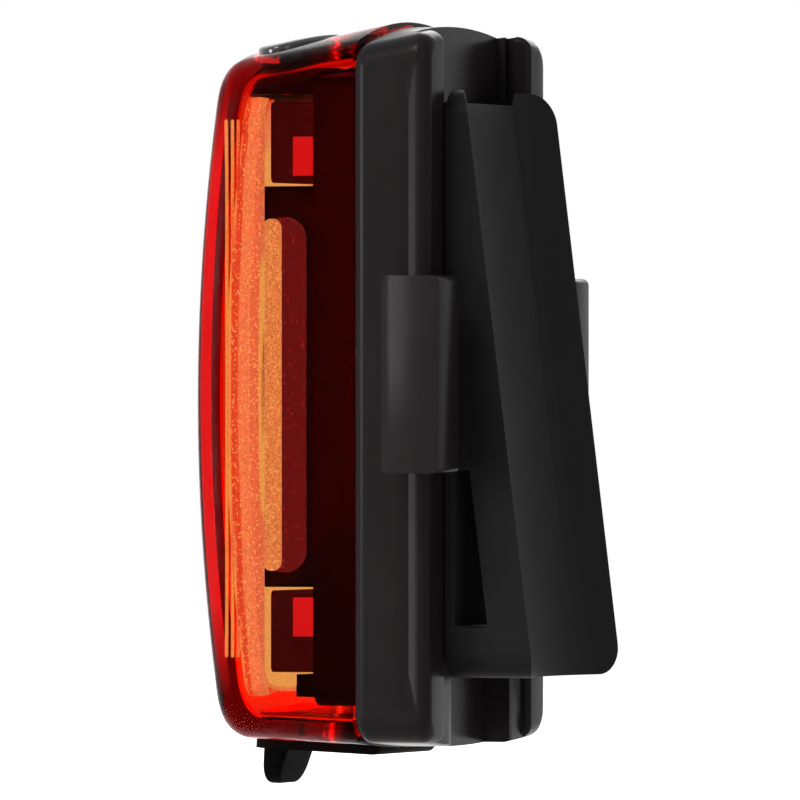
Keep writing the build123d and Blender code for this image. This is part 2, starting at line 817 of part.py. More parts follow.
# Button board and switch, on the upper reflector
button_board_foot = box_end
switch_foot = button_board_foot + button_board_thickness
switch_top = switch_foot + switch_height
plunger_top = switch_top + plunger_height - plunger_sink
stem_foot = plunger_top + stem_gap
with BuildPart() as button_board:
    with BuildSketch(Plane.XY.offset(button_board_foot)):
        with Locations((0, -seam - button_ahead - button_board_reach)):
            board_size = (2 * button_board_half_width, button_board_length)
            Rectangle(*board_size, align=(Align.CENTER, Align.MIN))
    extrude(amount=button_board_thickness)
finish(button_board, "button_board")

with BuildPart() as switch_body:
    with BuildSketch(Plane.XY.offset(switch_foot)):
        with Locations(button_place):
            Rectangle(switch_width, switch_length)
    extrude(amount=switch_height)
    with BuildSketch(Plane.XY.offset(switch_top)):
        with Locations(button_place):
            Circle(plunger_radius + plunger_gap)
    extrude(amount=-plunger_sink - button_travel - plunger_gap, mode=Mode.SUBTRACT)
finish(switch_body, "switch_body")

with BuildPart() as switch_plunger:
    with BuildSketch(Plane.XY.offset(switch_top - plunger_sink)):
        with Locations(button_place):
            Circle(plunger_radius)
    extrude(amount=plunger_height)
finish(switch_plunger, "switch_plunger")

# Power button, flush with the lens's slope but for its proud face, and the membrane under it
cap_inset = lens_wall - button_travel - membrane_clearance
cap_foot = lens_top - button_ahead * math.tan(math.radians(lens_top_fall)) - cap_inset
with BuildPart() as button_cap:
    add(lens_form(-button_proud))
    add(lens_form(cap_inset), mode=Mode.SUBTRACT)
    with BuildSketch(Plane.XY.offset(button_floor + button_travel + membrane_clearance)):
        with Locations(button_place):
            Ellipse(button_half_width, button_half_length)
    extrude(amount=lens_top - button_floor, mode=Mode.INTERSECT)
    fillet(button_cap.faces().sort_by(Axis.Z)[-1].edges(), button_round)
    with BuildSketch(Plane.XY.offset(stem_foot)):
        with Locations(button_place):
            Circle(stem_radius)
    extrude(amount=cap_foot - stem_foot + button_proud)
finish(button_cap, "button_cap")

with BuildPart() as button_membrane:
    add(lens_form(lens_wall))
    add(lens_form(lens_wall + membrane_thickness), mode=Mode.SUBTRACT)
    with BuildSketch(Plane.XY.offset(button_floor - membrane_skirt)):
        with Locations(button_place):
            Ellipse(button_half_width + membrane_rim, button_half_length + membrane_rim)
            mouth = (button_half_width - membrane_lip, button_half_length - membrane_side_lip)
            Ellipse(*mouth, mode=Mode.SUBTRACT)
    extrude(amount=lens_top, mode=Mode.INTERSECT)
finish(button_membrane, "button_membrane")

# Charging port on the front of the main board
with BuildPart() as usb_shell:
    with BuildSketch(Plane.XY.offset(port_foot)):
        with Locations((0, -port_ahead)):
            SlotOverall(port_width, port_thickness)
            SlotOverall(port_width - 2 * port_shell, port_thickness - 2 * port_shell, mode=Mode.SUBTRACT)
    extrude(amount=port_top - port_foot)
    with BuildSketch(Plane.XY.offset(port_top - port_shell)):
        with Locations((0, -port_ahead)):
            SlotOverall(port_width - 2 * port_shell, port_thickness - 2 * port_shell)
    extrude(amount=port_shell)
finish(usb_shell, "usb_shell")

with BuildPart() as usb_tongue:
    with BuildSketch(Plane.XY.offset(port_foot + tongue_recess)):
        with Locations((0, -port_ahead)):
            Rectangle(tongue_width, tongue_thickness)
    extrude(amount=port_top - port_shell - port_foot - tongue_recess)
finish(usb_tongue, "usb_tongue")

# Collar round the port, below the lower reflector
with BuildPart() as port_collar:
    with BuildSketch(Plane.XY.offset(-box_end - collar_height)):
        with Locations((0, -web_front)):
            Rectangle(2 * collar_half_width, collar_depth, align=(Align.CENTER, Align.MAX))
        with Locations((0, -port_ahead)):
            SlotOverall(port_width + 2 * port_gap, port_thickness + 2 * port_gap, mode=Mode.SUBTRACT)
    extrude(amount=collar_height - port_clearance)
finish(port_collar, "port_collar")

# Port cover: a plate with a round hinge end, a plug for the port and a pull tab
with BuildPart() as port_cover:
    with BuildSketch(cover_side.offset(-cover_half_width)):
        with Locations((hinge_from_seam, hinge_out)):
            Circle(cover_round)
            Rectangle(cover_end - hinge_from_seam, 2 * cover_round, align=(Align.MIN, Align.CENTER))
    extrude(amount=2 * cover_half_width)
    plate_normal = Axis((0, 0, 0), cover_plane.z_dir)
    fillet(port_cover.edges().filter_by(plate_normal), cover_corner)
    with BuildSketch(cover_side.offset(-tab_half_width)):
        with BuildLine():
            Polyline(
                (cover_end - tab_root, 0),
                (cover_end, 0),
                (cover_end, cover_proud + tab_drop),
                (cover_end - tab_tip, cover_proud + tab_drop),
                (cover_end - tab_root, cover_proud),
                close=True,
            )
        make_face()
    extrude(amount=2 * tab_half_width)
    tab_ends = port_cover.faces().sort_by(Axis.Z)[0].edges().filter_by(Axis.X, reverse=True)
    fillet(tab_ends, tab_corner)
    fillet(port_cover.faces().sort_by(Axis.Z)[0].edges().filter_by(Axis.X), tab_tip_round)
    with BuildSketch(cover_plane.offset(-cover_sink)):
        with Locations((0, port_from_seam)):
            RectangleRounded(plug_width, plug_thickness, plug_round)
    extrude(amount=-plug_height)
finish(port_cover, "port_cover")

# Anchor that holds the cover's strap inside the case
with BuildPart() as cover_anchor:
    with BuildSketch(cover_plane.offset(-cover_sink - cover_float)):
        with Locations((0, anchor_from_seam)):
            Circle(anchor_radius)
    extrude(amount=cover_sink - lens_wall)
    with BuildSketch(cover_plane.offset(-lens_wall - cover_float)):
        with Locations((0, anchor_from_seam)):
            Circle(anchor_head_radius)
    extrude(amount=-anchor_head_height)
finish(cover_anchor, "cover_anchor")

# Seat-post pad: runner and flanges in the rail, wedge head, concave cradle, side window
pad_height = pad_top - pad_foot
pad_middle = (pad_top + pad_foot) / 2
pad_lean = math.atan2(pad_rear_foot - pad_rear_top, pad_height)
pad_rear_middle = rail_depth + (pad_rear_foot + pad_rear_top) / 2
cradle_reach = math.sqrt(cradle_radius**2 - pad_half_width**2)
cradle = Plane(
    origin=(
        0,
        pad_rear_middle + cradle_reach * math.cos(pad_lean),
        pad_middle + cradle_reach * math.sin(pad_lean),
    ),
    x_dir=(1, 0, 0),
    z_dir=(0, -math.sin(pad_lean), math.cos(pad_lean)),
)
runner_foot = stop_height + runner_gap
runner_height = runner_top - runner_foot


def pad_rear(height):
    """How far behind the rail floor the pad's rear edge lies at a height."""
    return rail_depth + pad_rear_top + (pad_top - height) * math.tan(pad_lean)


with BuildPart() as post_pad:
    with BuildSketch(ahead(-rail_depth - pad_gap)):
        with Locations((0, pad_middle)):
            RectangleRounded(2 * pad_half_width, pad_height, pad_corner)
    extrude(amount=-pad_rear_foot)
    with BuildSketch(cradle):
        Circle(cradle_radius)
    extrude(amount=pad_height, both=True, mode=Mode.SUBTRACT)
    with BuildSketch(ahead(-pad_gap)):
        with Locations((0, runner_foot)):
            Rectangle(2 * (rail_half_width - runner_gap), runner_height, align=(Align.CENTER, Align.MIN))
    extrude(amount=-rail_depth)
    with BuildSketch(ahead(-slot_lift - (slot_width - flange_width) / 2)):
        with Locations((0, runner_foot)):
            Rectangle(2 * (rail_half_width + flange_reach), runner_height, align=(Align.CENTER, Align.MIN))
    extrude(amount=-flange_width)
    with BuildSketch(Plane.YZ) as window:
        window_front = rail_depth + window_front_wall
        with BuildLine():
            Polyline(
                (window_front, window_foot),
                (pad_rear(window_foot) - window_rear_wall, window_foot),
                (pad_rear(window_top) - window_rear_wall, window_top),
                (window_front, window_top),
                close=True,
            )
        make_face()
        fillet(window.vertices(), window_round)
    extrude(amount=pad_half_width + overrun, both=True, mode=Mode.SUBTRACT)
finish(post_pad, "post_pad")
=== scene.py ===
"""Bicycle rear light with its seat-post pad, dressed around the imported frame.

Lengths in the classes are millimetres unless a comment says otherwise. X is across the light, -Y is
ahead of it (the lens), +Z is up, and the origin is the middle of the housing's rail floor.
"""

from __future__ import annotations

import logging
import math
from dataclasses import dataclass
from enum import Enum
from typing import Iterable, Sequence

import bmesh
import bpy
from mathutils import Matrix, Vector


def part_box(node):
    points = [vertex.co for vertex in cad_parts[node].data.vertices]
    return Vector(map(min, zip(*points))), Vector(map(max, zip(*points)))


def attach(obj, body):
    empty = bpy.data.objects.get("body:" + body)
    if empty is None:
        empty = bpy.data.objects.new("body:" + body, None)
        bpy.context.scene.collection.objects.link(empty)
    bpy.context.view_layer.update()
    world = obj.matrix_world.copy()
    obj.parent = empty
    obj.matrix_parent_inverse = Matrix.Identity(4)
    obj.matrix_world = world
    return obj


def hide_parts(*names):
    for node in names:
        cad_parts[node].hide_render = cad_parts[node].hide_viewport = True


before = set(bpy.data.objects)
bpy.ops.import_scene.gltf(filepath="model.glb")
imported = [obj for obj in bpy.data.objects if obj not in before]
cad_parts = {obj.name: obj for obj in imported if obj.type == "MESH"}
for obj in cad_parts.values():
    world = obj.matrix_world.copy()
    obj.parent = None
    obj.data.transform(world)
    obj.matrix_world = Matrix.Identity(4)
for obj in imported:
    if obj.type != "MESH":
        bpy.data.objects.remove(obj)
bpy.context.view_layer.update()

log = logging.getLogger("rear_light")
MM = 0.001
Colour = tuple[float, float, float]
Place = tuple[float, float, float]
Stop = tuple[float, Colour]
Sockets = dict[str, bpy.types.NodeSocket]
WHITE: Colour = (1.0, 1.0, 1.0)
BLACK: Colour = (0.0, 0.0, 0.0)
NOISE_MIDDLE = 0.5  # what a noise gives on average
MERGE_DISTANCE = 1e-6  # metres between points that are one
FLAT_ANGLE = 0.2  # degrees between faces that are one
ROUNDING_SEGMENTS = 3


class Body(Enum):
    """The rigid bodies that pieces ride on."""

    CASE = "case"
    BUTTON = "button"
    COVER = "cover"
    PAD = "pad"


class GroupName(Enum):
    """The shader groups that several finishes share."""

    GRAIN = "Moulded grain"
    WEAR = "Edge wear"
    DUST = "Settled dust"
    SPARKLE = "Cast sparkle"


class GlowColour(Enum):
    """What the inner pieces glow in; the red lens in front takes most of the green and blue. The bar and
    chip colours are the lit LEDs' own light; the stripe colours are the diffuser's painted glow and
    painted shading, the rear edge colour its painted shade, and the grain colours bright specks, which are
    painted glints where the glow is painted.
    """

    ORANGE = (0.42, 0.53, 0.41)
    PALE = (0.42, 0.97, 0.46)
    WARM = (0.38, 0.4, 0.33)
    RED = (0.37, 0.18, 0.12)
    REAR_SHADE = (0.2, 0.13, 0.1)
    BAR = (0.4, 0.6, 0.36)
    CHIP = (0.7, 0.04, 0.1)
    BRIGHT_GRAIN = (0.46, 1.0, 0.6)
    RED_GRAIN = (0.6, 0.2, 0.3)


# Shader benches and groups


class NodeBench:
    """Adds nodes to one tree and joins them."""

    def __init__(self, tree: bpy.types.NodeTree) -> None:
        """Takes a material's or a group's node tree to work on."""
        self.tree = tree

    def add(self, kind: str, **values: object) -> bpy.types.Node:
        """Adds one node and sets its properties.

        Args:
            kind: the node's type name.
            **values: its properties; a name that isn't a property is taken for an input.

        Returns:
            The new node.
        """
        node = self.tree.nodes.new(kind)
        for name, value in values.items():
            if hasattr(node, name):
                setattr(node, name, value)
            else:
                node.inputs[name.replace("_", " ")].default_value = value
        return node

    def join(self, start: bpy.types.NodeSocket, end: bpy.types.NodeSocket) -> None:
        """Joins an output to an input."""
        self.tree.links.new(start, end)

    def feed(self, end: bpy.types.NodeSocket, value: object) -> None:
        """Gives an input its source or its value.

        Args:
            end: the input.
            value: an output to join to it, or its number or colour.
        """
        if isinstance(value, bpy.types.NodeSocket):
            self.join(value, end)
        elif isinstance(value, tuple):
            end.default_value = (*value, 1.0)
        else:
            end.default_value = value

    def maths(self, operation: str, first: object, second: object = 0.0) -> bpy.types.NodeSocket:
        """Adds a Math node.

        Args:
            operation: the node's operation.
            first: a socket or a number.
            second: a socket or a number.

        Returns:
            The node's output.
        """
        node = self.add("ShaderNodeMath", operation=operation)
        self.feed(node.inputs[0], first)
        self.feed(node.inputs[1], second)
        return node.outputs[0]

    def blend(self, share: object, first: object, second: object) -> bpy.types.NodeSocket:
        """Mixes two colours.

        Args:
            share: how much of the second, a socket or a number.
            first: a socket or a colour.
            second: a socket or a colour.

        Returns:
            The mixed colour.
        """
        node = self.add("ShaderNodeMix", data_type="RGBA")
        for place, value in ((0, share), (6, first), (7, second)):
            self.feed(node.inputs[place], value)
        return node.outputs[2]

    def ramp(self, source: bpy.types.NodeSocket, stops: Sequence[Stop]) -> bpy.types.NodeSocket:
        """Adds a colour ramp.

        Args:
            source: what drives it.
            stops: places and colours in rising order.

        Returns:
            The ramp's colour.
        """
        node = self.add("ShaderNodeValToRGB")
        band = node.color_ramp
        while len(band.elements) < len(stops):
            band.elements.new(0.5)  # moved to its own place below
        for element, (place, colour) in zip(band.elements, stops):
            element.position = place
            element.color = (*colour, 1.0)
        self.join(source, node.inputs[0])
        return node.outputs[0]

    def own_place(self) -> bpy.types.NodeSocket:
        """Where a point of the piece lies, in metres."""
        return self.add("ShaderNodeTexCoord").outputs["Object"]

    def stretched(self, scale: Place) -> bpy.types.NodeSocket:
        """Where a point of the piece lies, times a scale.

        Args:
            scale: the scale along each axis.

        Returns:
            The scaled place.
        """
        node = self.add("ShaderNodeMapping", Scale=scale)
        self.join(self.own_place(), node.inputs["Vector"])
        return node.outputs[0]

    def split(self, vector: bpy.types.NodeSocket) -> bpy.types.NodeOutputs:
        """Splits a vector.

        Args:
            vector: the vector.

        Returns:
            The outputs X, Y and Z.
        """
        node = self.add("ShaderNodeSeparateXYZ")
        self.join(vector, node.inputs[0])
        return node.outputs

    def remap(self, value: bpy.types.NodeSocket, zero: float, one: float) -> bpy.types.NodeSocket:
        """Maps a range to 0 to 1, and keeps to those ends outside it.

        Args:
            value: what is mapped.
            zero: what becomes 0.
            one: what becomes 1.

        Returns:
            The mapped value.
        """
        node = self.add("ShaderNodeMapRange", From_Min=zero, From_Max=one)
        self.join(value, node.inputs["Value"])
        return node.outputs[0]

    def noise(
        self, place: bpy.types.NodeSocket, scale: object, detail: float, roughness: float = 0.5
    ) -> bpy.types.NodeSocket:
        """Adds a noise texture.

        Args:
            place: the point that it is read at.
            scale: its cells per metre, a socket or a number.
            detail: how many finer layers it has.
            roughness: how strong these are.

        Returns:
            The noise, from 0 to 1.
        """
        node = self.add("ShaderNodeTexNoise", Detail=detail, Roughness=roughness)
        self.join(place, node.inputs["Vector"])
        self.feed(node.inputs["Scale"], scale)
        return node.outputs[0]


def open_group(
    name: GroupName, numbers: dict[str, float], outputs: Iterable[str]
) -> tuple[NodeBench, Sockets, Sockets]:
    """Starts a shader group with named inputs and outputs.

    Args:
        name: the group's name.
        numbers: its inputs and their defaults.
        outputs: the names of its outputs.

    Returns:
        A bench on the group, its input sockets by name and its output sockets by name.
    """
    tree = bpy.data.node_groups.new(name.value, "ShaderNodeTree")
    for label, value in numbers.items():
        socket = tree.interface.new_socket(name=label, in_out="INPUT", socket_type="NodeSocketFloat")
        socket.default_value = value
    for label in outputs:
        tree.interface.new_socket(name=label, in_out="OUTPUT", socket_type="NodeSocketFloat")
    bench = NodeBench(tree)
    inner = bench.add("NodeGroupInput")
    outer = bench.add("NodeGroupOutput")
    return bench, {s.name: s for s in inner.outputs}, {s.name: s for s in outer.inputs}


def build_grain() -> None:
    """Builds the group for grain: a fine height, and a tone that drifts in broad patches."""
    bench, given, wanted = open_group(
        GroupName.GRAIN, {"Cells per metre": 5000.0, "Unevenness": 0.3}, ["Height", "Tone"]
    )
    fine = bench.noise(bench.own_place(), given["Cells per metre"], detail=3.0, roughness=0.6)
    broad = bench.noise(bench.own_place(), scale=90.0, detail=4.0, roughness=0.55)
    bench.join(fine, wanted["Height"])
    drift = bench.maths("SUBTRACT", broad, NOISE_MIDDLE)
    bench.join(bench.maths("MULTIPLY", drift, given["Unevenness"]), wanted["Tone"])


def build_wear() -> None:
    """Builds the group for wear, which lies in patches along sharp outer edges."""
    bench, given, wanted = open_group(GroupName.WEAR, {"Amount": 0.5, "Patch size": 300.0}, ["Worn"])
    pointed = bench.add("ShaderNodeNewGeometry").outputs["Pointiness"]
    edge = bench.remap(pointed, zero=0.52, one=0.62)  # a flat face has 0.5
    patches = bench.noise(bench.own_place(), given["Patch size"], detail=5.0, roughness=0.65)
    patchy = bench.maths("MULTIPLY", edge, patches)
    bench.join(bench.maths("MULTIPLY", patchy, given["Amount"]), wanted["Worn"])


def build_dust() -> None:
    """Builds the group for dust, which lies in patches on what faces up."""
    bench, given, wanted = open_group(GroupName.DUST, {"Amount": 0.3, "Patch size": 140.0}, ["Dusty"])
    normal = bench.add("ShaderNodeNewGeometry").outputs["Normal"]
    upward = bench.remap(bench.split(normal)["Z"], zero=-0.2, one=1.0)
    patches = bench.noise(bench.own_place(), given["Patch size"], detail=6.0, roughness=0.7)
    fallen = bench.maths("MULTIPLY", upward, patches)
    bench.join(bench.maths("MULTIPLY", fallen, given["Amount"]), wanted["Dusty"])


def build_sparkle() -> None:
    """Builds the group for sparkle: grains of which a share is picked out; the glow finishes brighten
    these, as painted glints on parts that are no lamp.
    """
    bench, given, wanted = open_group(
        GroupName.SPARKLE, {"Grains per metre": 9000.0, "Share lit": 0.15}, ["Lit", "Height"]
    )
    cells = bench.add("ShaderNodeTexVoronoi")
    bench.join(bench.own_place(), cells.inputs["Vector"])
    bench.join(given["Grains per metre"], cells.inputs["Scale"])
    chance = bench.add("ShaderNodeSeparateColor")
    bench.join(cells.outputs["Color"], chance.inputs[0])
    bench.join(bench.maths("LESS_THAN", chance.outputs[0], given["Share lit"]), wanted["Lit"])
    bench.join(cells.outputs["Distance"], wanted["Height"])


# Finishes


def start_material(name: str) -> tuple[bpy.types.Material, NodeBench, bpy.types.Node]:
    """Starts a material with one Principled shader at its output.

    Args:
        name: the material's name.

    Returns:
        The material, a bench on it and its Principled node.
    """
    material = bpy.data.materials.new(name)
    material.use_nodes = True
    material.node_tree.nodes.clear()
    bench = NodeBench(material.node_tree)
    shader = bench.add("ShaderNodeBsdfPrincipled")
    output = bench.add("ShaderNodeOutputMaterial")
    bench.join(shader.outputs[0], output.inputs[0])
    return material, bench, shader


def place_group(bench: NodeBench, name: GroupName, **values: float) -> bpy.types.Node:
    """Places a shared group in a material.

    Args:
        bench: the material's bench.
        name: which group.
        **values: its inputs, with underscores for spaces.

    Returns:
        The group node.
    """
    node = bench.add("ShaderNodeGroup", node_tree=bpy.data.node_groups[name.value])
    for label, value in values.items():
        node.inputs[label.replace("_", " ")].default_value = value
    return node


def raise_surface(
    bench: NodeBench, shader: bpy.types.Node, height: bpy.types.NodeSocket, depth: float
) -> None:
    """Bumps a shader's normal by a height.

    Args:
        bench: the material's bench.
        shader: the Principled node.
        height: from 0 to 1.
        depth: how deep a height of 1 is, in millimetres.
    """
    bump = bench.add("ShaderNodeBump", Strength=1.0, Distance=depth * MM)
    bench.join(height, bump.inputs["Height"])
    bench.join(bump.outputs[0], shader.inputs["Normal"])


def seen_or_mirrored(bench: NodeBench) -> bpy.types.NodeSocket:
    """Tells what the camera sees, directly, mirrored or through glass.

    Args:
        bench: a material's or the world's bench.

    Returns:
        1 for such a ray, and 0 for others.
    """
    path = bench.add("ShaderNodeLightPath").outputs
    seen = bench.maths("MAXIMUM", path["Is Camera Ray"], path["Is Glossy Ray"])
    return bench.maths("MAXIMUM", seen, path["Is Transmission Ray"])


def way_ahead(bench: NodeBench, place: bpy.types.NodeOutputs, bow: float) -> bpy.types.NodeSocket:
    """How far ahead of the origin a point lies, once the front's bow is taken out.

    Args:
        bench: the material's bench.
        place: the point's X, Y and Z.
        bow: how much the front falls back, per metre of height squared.

    Returns:
        The way ahead, in metres.
    """
    height = place["Z"]
    fall = bench.maths("MULTIPLY", bench.maths("MULTIPLY", height, height), bow)
    return bench.maths("SUBTRACT", fall, place["Y"])


def scaled(colour: Colour, share: float) -> Colour:
    """Makes a colour darker or brighter."""
    return tuple(channel * share for channel in colour)


@dataclass(frozen=True)
class MouldedFinish:
    """Moulded plastic or rubber: grain, worn edges and settled dust."""

    name: str
    colour: Colour
    roughness: float = 0.4
    shine: float = 0.4
    cells: float = 6000.0  # grains per metre
    depth: float = 0.01
    unevenness: float = 0.5
    deep_share: float = 0.75  # of the colour, where its tone is lowest
    pale_share: float = 1.3  # of the colour, where its tone is highest
    tone_roughness: float = 0.35  # how much rougher it is for a tone that is higher by 1
    worn_colour: Colour = (0.12, 0.11, 0.11)
    wear: float = 0.5
    dust_colour: Colour = (0.2, 0.19, 0.18)
    dust: float = 0.15
    dust_roughness: float = 0.5  # how much rougher full dust makes it
    coat: float = 0.0
    coat_roughness: float = 0.12

    def build(self) -> bpy.types.Material:
        """Builds the material.

        Returns:
            The material.
        """
        material, bench, shader = start_material(self.name)
        grain = place_group(bench, GroupName.GRAIN, Cells_per_metre=self.cells, Unevenness=self.unevenness)
        worn = place_group(bench, GroupName.WEAR, Amount=self.wear).outputs["Worn"]
        dusty = place_group(bench, GroupName.DUST, Amount=self.dust).outputs["Dusty"]
        tone = bench.maths("ADD", grain.outputs["Tone"], NOISE_MIDDLE)
        deep = scaled(self.colour, self.deep_share)
        pale = scaled(self.colour, self.pale_share)
        base = bench.blend(tone, deep, pale)
        base = bench.blend(worn, base, self.worn_colour)
        bench.join(bench.blend(dusty, base, self.dust_colour), shader.inputs["Base Color"])
        uneven = bench.maths("MULTIPLY", grain.outputs["Tone"], self.tone_roughness)
        rough = bench.maths("ADD", uneven, self.roughness)
        rough = bench.maths("ADD", rough, bench.maths("MULTIPLY", dusty, self.dust_roughness))
        bench.join(rough, shader.inputs["Roughness"])
        raise_surface(bench, shader, grain.outputs["Height"], self.depth)
        bench.feed(shader.inputs["Specular IOR Level"], self.shine)
        bench.feed(shader.inputs["Coat Weight"], self.coat)
        bench.feed(shader.inputs["Coat Roughness"], self.coat_roughness)
        return material


@dataclass(frozen=True)
class OuterFinish(MouldedFinish):
    """A moulded finish for the outside, which is handled but kept clean."""

    wear: float = 0.1
    dust: float = 0.004


@dataclass(frozen=True)
class InnerFinish(MouldedFinish):
    """A moulded finish for the inside, where nothing wears or settles."""

    wear: float = 0.0
    dust: float = 0.0


@dataclass(frozen=True)
class DarkFinish(InnerFinish):
    """A dull inner finish for what stays dark behind the lens."""

    roughness: float = 0.5
    shine: float = 0.02


@dataclass(frozen=True)
class ClearFinish:
    """Clear plastic, coloured in the mass, that lets the lamps' light through to what lies behind it."""

    name: str
    through: Colour  # what passes a plain wall of it
    wall: float
    roughness: float = 0.02
    cells: float = 700.0  # grains per metre
    unevenness: float = 0.06
    depth: float = 0.004
    index: float = 1.09  # low, so that its inner faces don't mirror the white studio
    mirror: float = 0.3
    headroom: float = 1.01  # of the mass's density over the greatest loss, so that no channel is black
    painted_edge_glow: Colour = (0.6, 0.006, 0.006)  # painted glow, for light that the front wall carries to its side edges
    edge_side: float = 12.0  # from the middle
    edge_reach: float = 30.0  # above and below the middle
    edge_fade: float = 9.0  # over which the stripe dies away
    edge_start: float = 19.65  # ahead of the origin
    edge_stop: float = 21.1  # ahead of the origin
    bow: float = 2.44  # how much the edge falls back, per metre of height squared

    def build(self) -> bpy.types.Material:
        """Builds the material.

        Returns:
            The material.
        """
        material, bench, shader = start_material(self.name)
        bench.feed(shader.inputs["Base Color"], WHITE)
        bench.feed(shader.inputs["Transmission Weight"], 1.0)
        bench.feed(shader.inputs["IOR"], self.index)
        bench.feed(shader.inputs["Specular Tint"], (self.mirror, self.mirror, self.mirror))
        grain = place_group(bench, GroupName.GRAIN, Cells_per_metre=self.cells, Unevenness=self.unevenness)
        rough = bench.maths("ADD", grain.outputs["Tone"], self.roughness)
        bench.join(bench.maths("MAXIMUM", rough, 0.0), shader.inputs["Roughness"])
        raise_surface(bench, shader, grain.outputs["Height"], self.depth)
        self.paint_edge_glow(bench, shader)
        output = next(n for n in bench.tree.nodes if n.type == "OUTPUT_MATERIAL")
        self.clear_shadows(bench, shader, output)
        self.colour_mass(bench, output)
        return material

    def paint_edge_glow(self, bench: NodeBench, shader: bpy.types.Node) -> None:
        """Paints a glowing stripe of emission down each side edge of the front wall: painted light.

        Args:
            bench: the material's bench.
            shader: its Principled node.
        """
        place = bench.split(bench.own_place())
        ahead = way_ahead(bench, place, self.bow)
        aside = bench.maths("ABSOLUTE", place["X"])
        height = bench.maths("ABSOLUTE", place["Z"])
        full_reach = self.edge_reach - self.edge_fade
        inside = bench.remap(height, zero=self.edge_reach * MM, one=full_reach * MM)
        for share in (
            bench.maths("GREATER_THAN", aside, self.edge_side * MM),
            bench.maths("GREATER_THAN", ahead, self.edge_start * MM),
            bench.maths("LESS_THAN", ahead, self.edge_stop * MM),
        ):
            inside = bench.maths("MULTIPLY", inside, share)
        bench.join(bench.blend(inside, BLACK, self.painted_edge_glow), shader.inputs["Emission Color"])
        bench.feed(shader.inputs["Emission Strength"], 1.0)

    def clear_shadows(self, bench: NodeBench, shader: bpy.types.Node, output: bpy.types.Node) -> None:
        """Lets the lamps' light pass straight through the surface.

        Args:
            bench: the material's bench.
            shader: its Principled node.
            output: its output node.
        """
        path = bench.add("ShaderNodeLightPath")
        through = bench.add("ShaderNodeBsdfTransparent", Color=(*WHITE, 1.0))
        both = bench.add("ShaderNodeMixShader")
        bench.join(path.outputs["Is Shadow Ray"], both.inputs[0])
        bench.join(shader.outputs[0], both.inputs[1])
        bench.join(through.outputs[0], both.inputs[2])
        bench.join(both.outputs[0], output.inputs[0])

    def colour_mass(self, bench: NodeBench, output: bpy.types.Node) -> None:
        """Colours the light by the way that it goes through the plastic.

        Args:
            bench: the material's bench.
            output: its output node.
        """
        losses = [-math.log(share) / (self.wall * MM) for share in self.through]
        density = max(losses) * self.headroom
        mass = bench.add("ShaderNodeVolumeAbsorption", Density=density)
        mass.inputs["Color"].default_value = (*(1.0 - loss / density for loss in losses), 1.0)
        bench.join(mass.outputs[0], output.inputs["Volume"])


